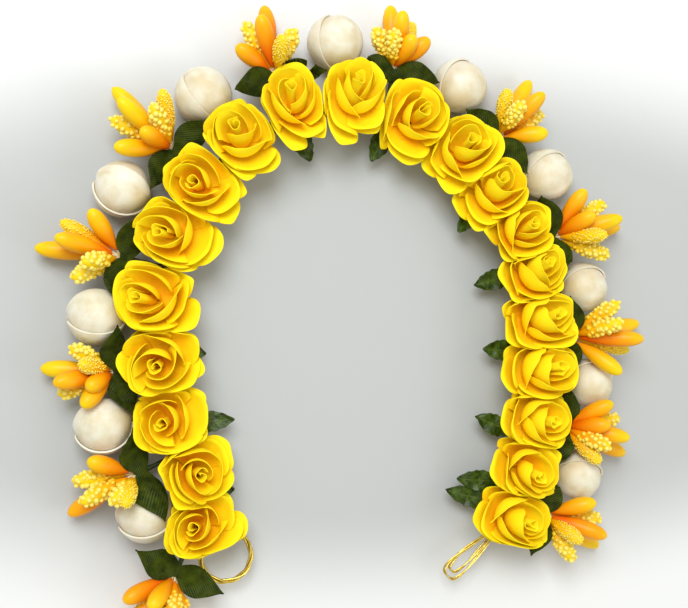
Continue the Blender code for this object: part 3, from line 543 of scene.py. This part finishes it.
class RosePlace:
    """Where one rose stands, how far it leans, and how its neighbours press on it. The two end roses are bent
    in at their free sides."""

    def __init__(self, index):
        tangent, outward = wire_frame(ROSE_STATIONS[index])
        offset = ROSE_OFFSETS[index]
        lean = np.clip(LEAN_PER_OFFSET * offset, -MOST_LEAN, MOST_LEAN)
        slide = HEAD_SLIDE * np.clip(index - ARCH_TOP, -1, 1)
        self.axis = unit(outward * math.tan(lean) + tangent * slide + UP)
        self.aside = unit(tangent - self.axis * self.axis.dot(tangent))
        self.across = np.cross(self.axis, self.aside)
        foot = ROSE_FOOT_HEIGHT + ROSE_FOOT_RADIUS * np.hypot(*self.axis[:2])
        rise = ROSE_HEAD_HEIGHT - foot
        base_offset = offset - rise * math.tan(lean)
        self.base = wire_point(ROSE_STATIONS[index], base_offset, foot) - tangent * slide * rise
        others = [side for side in (-1, 1) if 0 <= index + side < ROSE_COUNT]
        self.walls = {side: wall_between(index, index + side) for side in others}
        for side in {-1, 1} - set(others):
            self.walls[side] = (self.base + side * END_ROOM * tangent, side * tangent, False)

    def placed(self, local):
        """Puts places of the rose's own frame in their place. Past a free share of the room on each side,
        what is left of the room is filled by room * tanh(distance / room), and the room is less away from the
        rose's middle. The rose that lies over its neighbour reaches a little past the wall."""
        axle = self.base + local[..., 1:2] * self.across + local[..., 2:] * self.axis
        reach = local[..., 0].copy()
        for side, (origin, normal, over) in self.walls.items():
            room = side * ((origin - axle) @ normal) / (self.aside @ normal) - ROSE_GAP
            if over:
                room = np.maximum(room, side * ((origin - self.base) @ self.aside)) + ROSE_OVERLAP
            outward = np.minimum(np.abs(local[..., 1]) / ROSE_RADIUS, MOST_ROUNDED)
            room = room * (1 - WALL_ROUNDING * outward ** 3)
            knee = FREE_SHARE * room
            pressed = knee + (room - knee) * np.tanh((side * reach - knee) / (room - knee))
            reach = np.where(side * reach > knee, side * pressed, reach)
        return axle + reach[..., None] * self.aside

    def kept_under(self, points, margin):
        """Lowers what lies under the rose until it is the margin clear of the petals."""
        height = (points - self.base) @ self.axis
        radial = np.linalg.norm(points - self.base - height[..., None] * self.axis, axis=-1)
        most = UNDERSIDE_SLOPE * (radial - ROSE_FOOT_RADIUS) - margin
        drop = np.where(radial < UNDERSIDE_REACH, np.minimum(most - height, 0), 0)
        return points + drop[..., None] * self.axis


def petal_ring(layer, phase, hang, shift, draw):
    """One ring of petals in the rose's own frame: (places, way up, tone). The middle of a petal follows a
    cubic Bezier curve of radius and height. Columns turn about the axis by half width * u. Toward its sides a
    petal ends lower, which rounds its rim, and one side swings in under the next petal. The rim rolls out and
    down by the square of the way past the roll's start, and comes to a slight point: exp(-(u / width) ** 2).
    Waves grow with the fourth power of the way up. The ring is wider toward its four corners, hangs into the
    arch by hang * (way in) ** 2, and moves with the heart's shift as it rises."""
    count, half, swing, rounding, curl, follow, bend = layer
    u = np.linspace(-1, 1, PETAL_COLUMNS)
    draws = np.array([[draw.random() for _ in range(7)] for _ in range(count)])[:, :, None, None]
    turn, size, open_up, wave, ripple, tilt, pinch = draws.transpose(1, 0, 2, 3)
    own = 1 - (1 - np.linspace(0, 1, PETAL_ROWS)[:, None]) ** 1.3
    up = own * (1 - rounding * (0.8 + 0.4 * size) * np.abs(u) ** (1.6 + 1.5 * pinch))
    weights = [(1 - up) ** 3, 3 * up * (1 - up) ** 2, 3 * up ** 2 * (1 - up), up ** 3]
    radius, height = (sum(w * point[k] for w, point in zip(weights, bend)) for k in (0, 1))
    radius = radius * (1 + (0.22 - 0.1 * follow) * (open_up - 0.5)) + swing * u * up ** 0.7
    rolled = RIM_ROLL * (1 - 0.5 * follow) * np.clip((own - ROLL_START) / (1 - ROLL_START), 0, 1) ** 2
    point = PETAL_POINT * (1 - follow) * (0.5 + turn) * own ** 4
    radius += rolled + point * np.exp(-((u - 0.4 * (tilt - 0.5)) / POINT_WIDTH) ** 2)
    radius += RIM_WAVE * np.sin(2.6 * u + ANY_PHASE * wave) * own ** 4
    radius += curl * (0.4 + pinch) * np.maximum(u, 0) ** 2.5 * own ** 5
    height = height * (1 + 0.1 * (size - 0.5)) + 0.09 * (tilt - 0.5) * u * up ** 2 - 0.6 * rolled
    height += RIM_WAVE * np.sin(3.4 * u + ANY_PHASE * ripple) * own ** 4
    height += RIM_FRILL * np.sin(9 * u + 9 * wave) * own ** 6
    centre = phase + 2 * math.pi * (np.arange(count)[:, None, None] + 0.22 * (turn - 0.5)) / count
    angle = centre + math.radians(half) * (0.92 + 0.16 * size) * u
    radius *= 1 + CORNER_FILL * (1 - follow) * np.sin(2 * angle) ** 2
    x, y = (ROSE_RADIUS * radius * np.cos(angle), ROSE_RADIUS * radius * np.sin(angle))
    y -= hang * np.clip(-y / ROSE_RADIUS, 0, 1) ** 2
    x, y = (side + part * follow * height ** 1.3 for side, part in zip((x, y), shift))
    return np.stack([x, y, ROSE_HEIGHT * height], axis=-1), up + 0 * angle, tilt + 0 * angle


def rolled_heart(phase, shift, draw):
    """The rolled heart: a strip on a spiral, radius falling evenly from its outer to its inner share as it
    turns, a little square, with its top edge rolled out and wavy."""
    w = np.linspace(0, 1, HEART_COLUMNS)
    v = np.linspace(0, 1, PETAL_ROWS)[:, None]
    wave = ANY_PHASE * draw.random()
    angle = phase + 2 * math.pi * HEART_TURNS * w
    radius = HEART_RADII[0] + (HEART_RADII[1] - HEART_RADII[0]) * w
    radius = radius * (1 + 0.1 * np.cos(3.5 * angle + wave)) * (0.9 + 0.1 * v + 0.2 * v ** 6)
    top = 0.96 + 0.05 * w + 0.03 * np.sin(2 * angle + wave)
    height = HEART_FOOT + (top - HEART_FOOT) * v
    x, y = (ROSE_RADIUS * radius * turned + part * height ** 1.3
            for turned, part in zip((np.cos(angle), np.sin(angle)), shift))
    places = np.stack([x, y, ROSE_HEIGHT * height], axis=-1)
    return places[None], np.broadcast_to(v, height.shape)[None], 0.4 * np.ones_like(height)[None]


def rose_surface(index, place):
    """All petals and the heart of one rose, pressed against its neighbours and kept off the buds."""
    draw = random.Random(100 + index)
    size = draw.uniform(0.95, 1.03)
    phase = draw.uniform(0, 2 * math.pi)
    rings = []
    for number, layer in enumerate(PETAL_LAYERS):
        hang = HANG_SHARE * ROSE_HANGS[index] if number < HANGING_LAYERS else 0
        rings.append(petal_ring(layer, phase + LAYER_TURN * number, hang, HEART_SHIFTS[index], draw))
    rings.append(rolled_heart(phase + draw.uniform(0, 6), HEART_SHIFTS[index], draw))
    flat = np.vstack([places.reshape(-1, 3) for places, _, _ in rings]) * size
    flat = clear_of_buds(place.placed(flat), PETAL_BUD_GAP)
    surfaces = []
    for places, up, tone in rings:
        here, flat = flat[:up.size].reshape(places.shape), flat[up.size:]
        surfaces.append(shell(marked(here, up, tone), PETAL_THICKNESS))
    return joined(*surfaces)


def calyxes():
    """Green stubs from the tape up into each rose: straight, and wider where they hold the petals."""
    share = np.linspace(0, 1, 8)[:, None]
    feet = wire_point(ROSE_STATIONS, 0, WIRE_HEIGHT + CALYX_RISE)
    heads = [place.base + CALYX_RISE * place.axis + 0.05 * MM * place.aside for place in rose_places]
    paths = feet[:, None] * (1 - share) + np.array(heads)[:, None] * share
    return tubes(paths, np.interp(share[:, 0], [0, 0.5, 1], CALYX_RADII), 10)


rose_paper = Finish("rose_paper", (0.98, 0.66, 0.003), 0.75, Specular_IOR_Level=0.12)
patches = rose_paper.worked("SUBTRACT", rose_paper.noise(3 * MM, 2.0), 0.5)
patchy = rose_paper.worked("MULTIPLY", patches, 0.35)
up_petal = rose_paper.worked("ADD", rose_paper.mark("along"), patchy)
# Painted light and shade: the yellow runs from a deep orange at each petal's foot, painted shade in the
# folds, to a pale lemon at the rim, a painted highlight.
petal_yellow_with_painted_light = rose_paper.ramp(
    up_petal,
    (0.12, (0.9, 0.37, 0.002)), (0.95, (1.0, 0.83, 0.012)), (0.42, (0.97, 0.59, 0.002)),
    (0.68, (1.0, 0.77, 0.006)),
)
tone_share = rose_paper.worked("MULTIPLY", rose_paper.mark("across"), 0.5)
rose_paper.coloured(rose_paper.blend(tone_share, petal_yellow_with_painted_light, (1.0, 0.87, 0.015)))
rose_paper.raised(rose_paper.noise(1.6 * MM, 2.0), 0.12 * MM)
rose_paper.raised(rose_paper.noise(0.22 * MM, 3.0), 0.025 * MM)
rose_places = [RosePlace(index) for index in range(ROSE_COUNT)]
for index, (node, place) in enumerate(zip(ROSE_NODES, rose_places)):
    piece(node + "_petals", [node], rose_paper, rose_surface(index, place))
piece("rose_calyxes", ROSE_NODES, tape, calyxes())


# Jasmine buds: round buds carved and wrapped from ivory pith sheet, three petals lapped one over the other
# about a ball, each on a taped stalk. Their undersides are pressed flat where the garland lies on them.

PITH_WHITE = (0.79, 0.77, 0.66)
# The buds whose pith has yellowed in patches, counted from 0.
YELLOWED_BUDS = (3, 4, 6, 8, 9)
BUD_FLAT = 0.5 * MM
BUD_CORE_DEPTH = 0.75 * MM
BUD_PETALS = 3
BUD_PETAL_ROWS = 26
BUD_PETAL_COLUMNS = 25
BUD_PETAL_THICKNESS = 0.5 * MM
BUD_PETAL_HALF = math.radians(86)
BUD_SWIRL = 0.5
BUD_TURNS = (-0.7, -0.05)
BUD_CLIMB = 0.66 * MM
BUD_LIP = 0.14 * MM
LIP_WIDTH = 0.2
LIP_GROOVE = 0.64
GROOVE_WIDTH = 0.11
BUD_SINK = 0.5 * MM


def round_bud(index, polar, angle, radius):
    """Places about a bud's centre: radius * (cos p * out + sin p * about). Out is the way to the tip, and
    about turns by the angle from straight up to level across."""
    _, out = wire_frame(BUD_STATIONS[index])
    polar, angle, radius = (part[..., None] for part in np.broadcast_arrays(polar, angle, radius))
    about = np.sin(angle) * np.cross(out, UP) + np.cos(angle) * UP
    return BUD_CENTRES[index] + radius * (np.cos(polar) * out + np.sin(polar) * about)


def bud_core(index):
    """A ball just inside the petals, flat below."""
    radius = BUD_RADII[index] - BUD_CORE_DEPTH
    polar = math.pi * np.linspace(0.04, 0.96, 22)[:, None]
    rings = round_bud(index, polar, math.pi / 2 - 2 * math.pi * np.arange(36) / 36, radius)
    rings[..., 2] = np.maximum(rings[..., 2], BUD_FLAT)
    poles = marked(round_bud(index, np.array([0, math.pi]), 0.0, radius), 0.4, 0.5)
    return skin(marked(rings, 0.4, 0.5)[None], poles[None, 0], poles[None, 1])


def bud_petals(index, draw):
    """Petals on the ball: each covers a turn of 2 * half width from the stalk to the tip, swirls round by the
    swirl as it closes, and climbs from its tucked side to its free side, where a groove sets off its lip."""
    u = np.linspace(-1, 1, BUD_PETAL_COLUMNS)
    v = np.linspace(0, 1, BUD_PETAL_ROWS)[:, None]
    draws = np.array([[draw.random() for _ in range(3)] for _ in range(BUD_PETALS)])[:, :, None, None]
    turn, wide, long = draws.transpose(1, 0, 2, 3)
    first = draw.uniform(*BUD_TURNS)
    climb = (0.5 + 0.5 * u) ** 1.5
    polar = math.pi * (0.97 - (0.90 + 0.06 * long) * v * (1 - 0.05 * np.abs(u) ** 3))
    angle = first + 2 * math.pi * (np.arange(BUD_PETALS)[:, None, None] + 0.2 * (turn - 0.5)) / BUD_PETALS
    angle = angle + BUD_PETAL_HALF * (0.9 + 0.2 * wide) * u * (1 - 0.3 * v ** 2) + BUD_SWIRL * v ** 2
    groove = 0.9 * np.exp(-((LIP_GROOVE - u) / GROOVE_WIDTH) ** 2)
    lip = np.exp(-((1 - u) / LIP_WIDTH) ** 2) - groove + 0.5 * np.exp(-((1 - v) / 0.06) ** 2)
    radius = BUD_RADII[index] + BUD_CLIMB * climb - BUD_SINK - 0.1 * MM * np.cos(polar)
    places = round_bud(index, polar, angle, radius + BUD_LIP * lip * np.sin(polar))
    places[..., 2] = np.maximum(places[..., 2], BUD_PETAL_THICKNESS / 2)
    return shell(marked(places, v, u), BUD_PETAL_THICKNESS)


def pith_finish(name, patch, stain):
    """White pith with stained patches of about that size. Painted shade makes it browner under the laps, a
    painted reflection of the yellow roses makes it yellower at the stalk, and a painted highlight makes it
    paler at the lips."""
    pith = Finish(name, PITH_WHITE, 0.5, Subsurface_Weight=0.15, Subsurface_Scale=0.002)
    ivory = pith.ramp(pith.noise(patch, 3.0), (0.34, stain), (0.6, PITH_WHITE))
    # Painted shade: browner on each petal's tucked side, under the neighbour's lap.
    painted_lap_shade = pith.worked("MULTIPLY", pith.ranged(pith.mark("across"), 0.0, -0.45), 0.33)
    ivory = pith.blend(painted_lap_shade, ivory, (0.6, 0.47, 0.32))
    # Painted reflection: yellower toward the stalk, where the yellow roses are near.
    painted_rose_reflection = pith.worked("MULTIPLY", pith.ranged(pith.mark("along"), 0.5, 0.1), 0.6)
    ivory = pith.blend(painted_rose_reflection, ivory, (0.66, 0.5, 0.24))
    # Painted highlight: paler on the raised lip beyond the groove.
    lip = pith.worked("MULTIPLY", pith.ranged(pith.mark("across"), LIP_GROOVE, LIP_GROOVE + 0.14), 0.35)
    pith.coloured(pith.blend(lip, ivory, (0.84, 0.82, 0.73)))
    return pith.raised(pith.noise(0.5 * MM, 3.0, (1, 0.25, 1)), 0.06 * MM)


fresh_pith = pith_finish("ivory_pith", 4 * MM, (0.69, 0.63, 0.46))
yellowed_pith = pith_finish("yellowed_pith", 6 * MM, (0.67, 0.59, 0.4))
for index in range(len(BUDS)):
    node = f"bud_{index + 1:02d}"
    pith = yellowed_pith if index in YELLOWED_BUDS else fresh_pith
    petals = bud_petals(index, random.Random(500 + index))
    piece(node + "_pith", [node], pith, joined(bud_core(index), petals))


# Stamen sprays: glossy dipped pips on starched threads, some smooth and some set with tiny beads or sugar
# grains, six or seven to a spray, bound at the foot with green tape.

SPRAY_SIZES = (1.0, 0.88, 0.86, 0.95, 1.02, 0.86, 0.84, 0.9, 1.02, 1.1, 0.97, 0.95)
KNOT_RADIUS = 1.3 * MM
PIP_RADIUS = 2.45 * MM
PIP_FAN = (
    # Degrees aside, degrees up, reach, and whether the pip is beaded.
    (-10, -6, 23.5 * MM, False),
    (14, 3, 19 * MM, True),
    (-39, 22, 17 * MM, True),
    (40, 24, 17 * MM, False),
    (0, 25, 20.5 * MM, False),
    (-21, 47, 16.5 * MM, True),
    (19, 48, 15.5 * MM, False),
)
# In this many sprays at the left end the pip in the middle of the fan is beaded too.
MOSTLY_BEADED = 2
MIDDLE_PIP = 4
PIP_START = 0.12
PIP_TAPER = 1.65
PIP_MARGIN = 0.8 * MM
STEEPEST_PIP = math.radians(80)
PIP_LIFT = math.radians(2)
THREAD_RADIUS = 0.32 * MM
DIP_SPREAD = 0.5
BEADED_TONE = 0.3
BEADED_SHARE = 0.82
SUGARED_SHARE = 0.87
BEADS_FROM = 0.3
BEADS = 46
BEAD_RADII = (0.58 * MM, 0.84 * MM)
GRAINS = 190
GRAIN_RADII = (0.2 * MM, 0.34 * MM)
# Sides and rings of one ball.
BEAD_GRID = (7, 4)
GRAIN_GRID = (5, 2)
# Where a thread begins and ends, in shares of its pip's reach.
THREAD_ENDS = (-0.02, PIP_START + 0.06)
KNOT_SWELL = np.array([0.6, 0.85, 0.95, 1, 1, 0.95, 0.8])
GOLDEN_ANGLE = math.pi * (3 - math.sqrt(5))


def pip_way(forward, aside_angle, up_angle):
    """The way forward turned aside and then raised."""
    level = forward * math.cos(aside_angle) + np.cross(UP, forward) * math.sin(aside_angle)
    return level * math.cos(up_angle) + UP * math.sin(up_angle)


def lifted_way(root, forward, aside_angle, up_angle, reach):
    """Raises a pip until its whole length is clear of the buds."""
    while True:
        way = pip_way(forward, aside_angle, up_angle)
        along = root + np.linspace(0.3, 1, 8)[:, None] * reach * way
        near = (np.linalg.norm(along - BUD_CENTRES[:, None], axis=2).min(axis=1) - BUD_RADII).min()
        if near > PIP_RADIUS + PIP_MARGIN or up_angle > STEEPEST_PIP:
            return way
        up_angle += PIP_LIFT


def spray_pips(index, tie, forward):
    """(way, reach, beaded) of each pip, and the root that their threads leave from."""
    draw = random.Random(200 + index)
    mirror = draw.choice((-1, 1))
    root = tie + forward * KNOT_RADIUS
    pips = []
    for number, (aside_angle, up_angle, reach, beaded) in enumerate(PIP_FAN[:len(PIP_FAN) - index % 2]):
        aside_angle = math.radians(mirror * aside_angle + draw.uniform(-3, 3))
        up_angle = math.radians(up_angle + draw.uniform(-2, 3))
        reach *= SPRAY_SIZES[index] * draw.uniform(0.95, 1.03)
        beaded = beaded or (index < MOSTLY_BEADED and number == MIDDLE_PIP)
        pips.append((lifted_way(root, forward, aside_angle, up_angle, reach), reach, beaded))
    return root, pips


def pip_profile(t, width):
    """(share of the reach, radius) of a pip: width * 2 * sqrt(s (1 - s)) with s = t ** taper, so that it
    tapers from a round tip back to its thread."""
    s = np.clip(t, 0, 1) ** PIP_TAPER
    return PIP_START + (1 - PIP_START) * t, width * 2 * np.sqrt(s * (1 - s))


def pip_bodies(root, pips, width, tone, seed):
    """The dipped drops of a spray: the profile turned about each thread, each a little redder or yellower."""
    t = (1 - np.cos(math.pi * np.linspace(0.05, 0.97, 17))) / 2
    share, radius = pip_profile(t, width)
    dips = tone + DIP_SPREAD * (np.random.default_rng(seed).random(len(pips)) - 0.5)
    paths = [root + way * (share * reach)[:, None] for way, reach, _ in pips]
    return joined(*(tubes(path[None], radius, 16, dip) for path, dip in zip(paths, dips)))


def beads_on(root, way, reach, count, sizes, width, sides, rings, seed):
    """Small balls on the fat end of a drop: evenly by its area along it, each a golden angle on from the one
    before, with their places and sizes a little uneven."""
    uneven = np.random.default_rng(seed).random((3, count))
    t = np.linspace(BEADS_FROM, 1, 200)
    share, radius = pip_profile(t, width)
    area = np.cumsum(radius)
    spot = np.interp((np.arange(count) + 2 * uneven[0] - 0.5) / count, area / area[-1], t)
    bead = (sizes[0] + (sizes[1] - sizes[0]) * uneven[1])[:, None]
    share, radius = pip_profile(spot, width)
    aside = unit(np.cross(way, UP))
    over = np.cross(way, aside)
    turn = GOLDEN_ANGLE * np.arange(count) + 0.7 * uneven[2]
    off = np.cos(turn)[:, None] * aside + np.sin(turn)[:, None] * over
    centres = root + way * (share * reach)[:, None] + radius[:, None] * off
    polar = math.pi * (np.arange(rings) + 1)[:, None, None] / (rings + 1)
    round_turn = 2 * math.pi * np.arange(sides)[:, None] / sides
    level = np.hstack([np.cos(round_turn), np.sin(round_turn), 0 * round_turn])
    ball = np.sin(polar) * level - np.cos(polar) * UP
    balls = centres[:, None, None] + bead[:, None, None] * ball
    ends = [marked(centres + bead * pole, spot, 0.5) for pole in (-UP, UP)]
    return skin(marked(balls, spot[:, None, None], 0.5), *ends)


lacquer = Finish("pip_lacquer", (0.9, 0.42, 0.004), 0.38, Specular_IOR_Level=0.26)
toned = lacquer.worked("MULTIPLY", lacquer.worked("ADD", lacquer.mark("along"), lacquer.mark("across")), 0.7)
streaks = lacquer.worked("MULTIPLY", lacquer.noise(6 * MM), 0.3)
lacquer.coloured(lacquer.ramp(
    lacquer.worked("ADD", toned, streaks),
    (0.22, (0.84, 0.15, 0.001)), (0.85, (0.92, 0.65, 0.004)), (0.5, (0.9, 0.38, 0.001)),
))
pearl = Finish("pip_beads", (0.98, 0.84, 0.2), 0.2)
pearl.coloured(pearl.ramp(pearl.mark("along"), (0.3, (0.9, 0.6, 0.01)), (0.7, (0.92, 0.79, 0.15))))
starch = Finish("starched_thread", (0.8, 0.62, 0.3), 0.6)
starch.coloured(starch.ramp(starch.mark("along"), (0.0, (0.4, 0.3, 0.08)), (0.6, (0.86, 0.72, 0.42))))
starch.raised(starch.noise(0.3 * MM), 0.05 * MM)
for index, (tie, forward) in enumerate(zip(spray_ties, spray_ways)):
    node = f"cluster_{index + 1:02d}"
    root, pips = spray_pips(index, tie, forward)
    smooth = [pip for pip in pips if not pip[2]]
    beaded = [pip for pip in pips if pip[2]]
    sugared = beaded.pop(index % len(beaded))
    thinner = BEADED_SHARE * PIP_RADIUS
    piece(node + "_drops", [node], lacquer, joined(
        pip_bodies(root, smooth, PIP_RADIUS, 0, 800 + index),
        pip_bodies(root, [sugared, *beaded], thinner, BEADED_TONE, 900 + index)))
    sugar = GRAINS, GRAIN_RADII, SUGARED_SHARE * PIP_RADIUS, *GRAIN_GRID
    grains = beads_on(root, *sugared[:2], *sugar, 600 + index)
    beads = [beads_on(root, way, reach, BEADS, BEAD_RADII, thinner, *BEAD_GRID, 700 + 10 * index + k)
             for k, (way, reach, _) in enumerate(beaded)]
    piece(node + "_beads", [node], pearl, joined(grains, *beads))
    reaches = np.array([reach for _, reach, _ in pips])[:, None, None]
    ways = np.array([way for way, _, _ in pips])[:, None]
    threads = root + ways * reaches * np.linspace(*THREAD_ENDS, 6)[:, None]
    piece(node + "_threads", [node], starch, tubes(threads, THREAD_RADIUS, 7))
    knot = np.linspace(0, 1.5 * KNOT_RADIUS, len(KNOT_SWELL))[:, None] * forward + tie
    piece(node + "_binding", [node], tape, tubes(knot[None], KNOT_RADIUS * KNOT_SWELL, 12))


# Cloth leaves: pairs of pointed leaves cut from stiff, dark green woven ribbon, wired across the foot of each
# spray, with a pressed mid fold and light lines on the slant: pale threads of the weave, partly painted
# sheen.

LEAF_THICKNESS = 0.35 * MM
LEAF_PAIR_OFFSET = 10.6 * MM
LEAF_PAIR_HEIGHT = 8.4 * MM
LEAF_LENGTH = 13.5 * MM
LEAF_SHARE_OF_SPACE = 0.47
LEAF_HALVES = (3.2 * MM, 5.2 * MM)
LEAF_SHARES = np.array([(0, 0.36), (0.25, 0.92), (0.5, 1.0), (0.72, 0.62), (0.88, 0.26), (1, 0.03)])
LEAF_TURN = 0.1
LEAF_TIP_RISE = 3 * MM
LEAF_ROLLS = (math.radians(12), math.radians(34))
LEAF_UNDER_ROSE = 0.7 * MM
LEAF_OFF_BUD = 0.8 * MM
RIB_PITCH = 0.85 * MM
WEFT_PITCH = 0.4 * MM


def leaf_pair(index):
    """Two leaves in one strip: it runs across the spray and rises by tip rise * out ** 1.5 to both tips. Its
    half width follows the shares, and it rolls up more toward the tips. Its mid fold is pressed up, its edges
    wave by side * cos(4 pi t), and it is lowered under the roses and pushed out of the buds."""
    draw = random.Random(300 + index)
    tie, forward = spray_ties[index], spray_ways[index]
    tangent = np.cross(forward, UP)
    others = [spray_ties[k] for k in (index - 1, index + 1) if 0 <= k < len(spray_ties)]
    space = min(np.linalg.norm(tie - other) for other in others)
    length = min(LEAF_LENGTH, LEAF_SHARE_OF_SPACE * space)
    turn = draw.uniform(-LEAF_TURN, LEAF_TURN)
    t = np.linspace(-1, 1, 57)[:, None]
    s = np.linspace(-1, 1, 13)
    out = np.abs(t)
    share = np.interp(out, *smooth_path(LEAF_SHARES, 10).T)
    roll = LEAF_ROLLS[0] + LEAF_ROLLS[1] * out
    half = np.where(s < 0, LEAF_HALVES[0], LEAF_HALVES[1]) * share * s
    middle = tie + forward * (LEAF_PAIR_OFFSET - SPRAY_OFFSET)
    places = middle + ((tangent + forward * turn) * (length * t)[..., None]
                       + (half * np.cos(roll))[..., None] * forward)
    wave = 0.3 * MM * s * np.cos(4 * math.pi * t) * out + 0.45 * MM * np.abs(s) * share - 0.3 * MM * share
    places[..., 2] = LEAF_PAIR_HEIGHT + LEAF_TIP_RISE * out ** 1.5 + half * np.sin(roll) - wave
    for place in rose_places:
        places = place.kept_under(places, LEAF_UNDER_ROSE)
    places = clear_of_buds(places, LEAF_OFF_BUD, depth=3 * MM, fade=2 * MM)
    return shell(marked(places, length * t, half)[None], LEAF_THICKNESS)


ribbon = Finish("woven_ribbon", (0.02, 0.03, 0.004), 0.8, Specular_IOR_Level=0.1)
slant = ribbon.worked("ADD", ribbon.mark("along"), ribbon.mark("across"))
counter = ribbon.worked("SUBTRACT", ribbon.mark("along"), ribbon.mark("across"))
ribs = ribbon.worked("SINE", ribbon.worked("MULTIPLY", slant, 2 * math.pi / RIB_PITCH))
weft = ribbon.worked("SINE", ribbon.worked("MULTIPLY", counter, 2 * math.pi / WEFT_PITCH))
# Light lines on the slant, in patches: partly the weave's pale threads, partly painted sheen on the ribs.
wear_and_sheen = ribbon.ranged(ribbon.noise(3.5 * MM, 2.0), 0.42, 0.68)
thread_and_sheen_lines = ribbon.worked("MULTIPLY", ribbon.ranged(ribs, 0.55, 1.0), wear_and_sheen)
cloth_green = ribbon.ramp(
    ribbon.noise(2.5 * MM, 3.0), (0.3, (0.016, 0.028, 0.002)), (0.7, (0.055, 0.08, 0.004)))
ribbon.coloured(ribbon.blend(ribbon.worked("MULTIPLY", thread_and_sheen_lines, 0.4), cloth_green, (0.16, 0.22, 0.12)))
ribbon.raised(ribs, 0.05 * MM)
ribbon.raised(weft, 0.03 * MM)
for index in range(len(spray_ties)):
    node = f"leaf_pair_{index + 1:02d}"
    piece(node + "_ribbon", [node], ribbon, leaf_pair(index))


# Floor, light and camera: a pale table under soft studio light from above, with painted shade darker in its
# middle. The camera looks down with a lean of 14 degrees, 320 mm from the middle of the garland.

TARGET = MM * np.array([-4, 5, 8])
CAMERA_DISTANCE = 320 * MM
CAMERA_LEAN = math.radians(14)
# The picture's width at the target: 688 pixels of 0.28 mm.
PICTURE_WIDTH = 688 * 0.28 * MM
SENSOR_WIDTH = 36
FLOOR_HALF = 3
FLOOR_DROP = 0.2 * MM
# Painted shade: the table is darker in an oval about the middle of the arch. Half its depth, inside and
# outside of its edge.
SHADE_EDGE = (54 * MM, 90 * MM)

floor_mesh = bpy.data.meshes.new("floor")
floor_corners = FLOOR_HALF * np.array([(-1, -1, 0), (1, -1, 0), (1, 1, 0), (-1, 1, 0)]) - FLOOR_DROP * UP
floor_mesh.from_pydata(floor_corners.tolist(), [], [(0, 1, 2, 3)])
floor = bpy.data.objects.new("floor", floor_mesh)
bpy.context.scene.collection.objects.link(floor)
table = Finish("pale_floor", (0.66, 0.67, 0.66), 0.8, Specular_IOR_Level=0.2)
flat_place = table.node("ShaderNodeMapping", {
    "Vector": table.node("ShaderNodeTexCoord", {}).outputs["Object"],
    "Location": (-0.004, 0, 0), "Scale": (0.4, 1, 0),
}).outputs[0]
away = table.node("ShaderNodeVectorMath", {0: flat_place}, operation="LENGTH").outputs["Value"]
table.coloured(table.ramp(
    table.ranged(away, *SHADE_EDGE), (0.0, (0.485, 0.52, 0.545)), (1.0, (0.78, 0.82, 0.86))))
floor_mesh.materials.append(table.material)

world = bpy.data.worlds.new("soft_daylight")
world.use_nodes = True
world.node_tree.nodes["Background"].inputs["Color"].default_value = (1.0, 0.93, 0.8, 1)
world.node_tree.nodes["Background"].inputs["Strength"].default_value = 0.62
bpy.context.scene.world = world


def soft_light(name, place, size, power):
    """A square area light that faces the middle of the garland."""
    light = bpy.data.lights.new(name, "AREA")
    light.size = size
    light.energy = power
    lamp = bpy.data.objects.new(name, light)
    lamp.location = place
    way = -np.asarray(place)
    lamp.rotation_euler = (math.atan2(np.hypot(way[0], way[1]), -way[2]), 0, math.atan2(-way[0], way[1]))
    bpy.context.scene.collection.objects.link(lamp)


soft_light("overhead_softbox", (-0.18, 0.3, 0.6), 0.35, 3.6)
soft_light("side_softbox", (0.45, -0.2, 0.45), 0.3, 0.7)

camera_data = bpy.data.cameras.new("camera")
camera_data.sensor_width = SENSOR_WIDTH
camera_data.lens = CAMERA_DISTANCE / PICTURE_WIDTH * SENSOR_WIDTH
camera_data.clip_start = 0.001
camera = bpy.data.objects.new("camera", camera_data)
camera.location = TARGET + CAMERA_DISTANCE * np.array([-math.sin(CAMERA_LEAN), 0, math.cos(CAMERA_LEAN)])
camera.rotation_euler = (0, -CAMERA_LEAN, 0)
bpy.context.scene.collection.objects.link(camera)
bpy.context.scene.camera = camera
bpy.context.scene.view_settings.view_transform = "Standard"
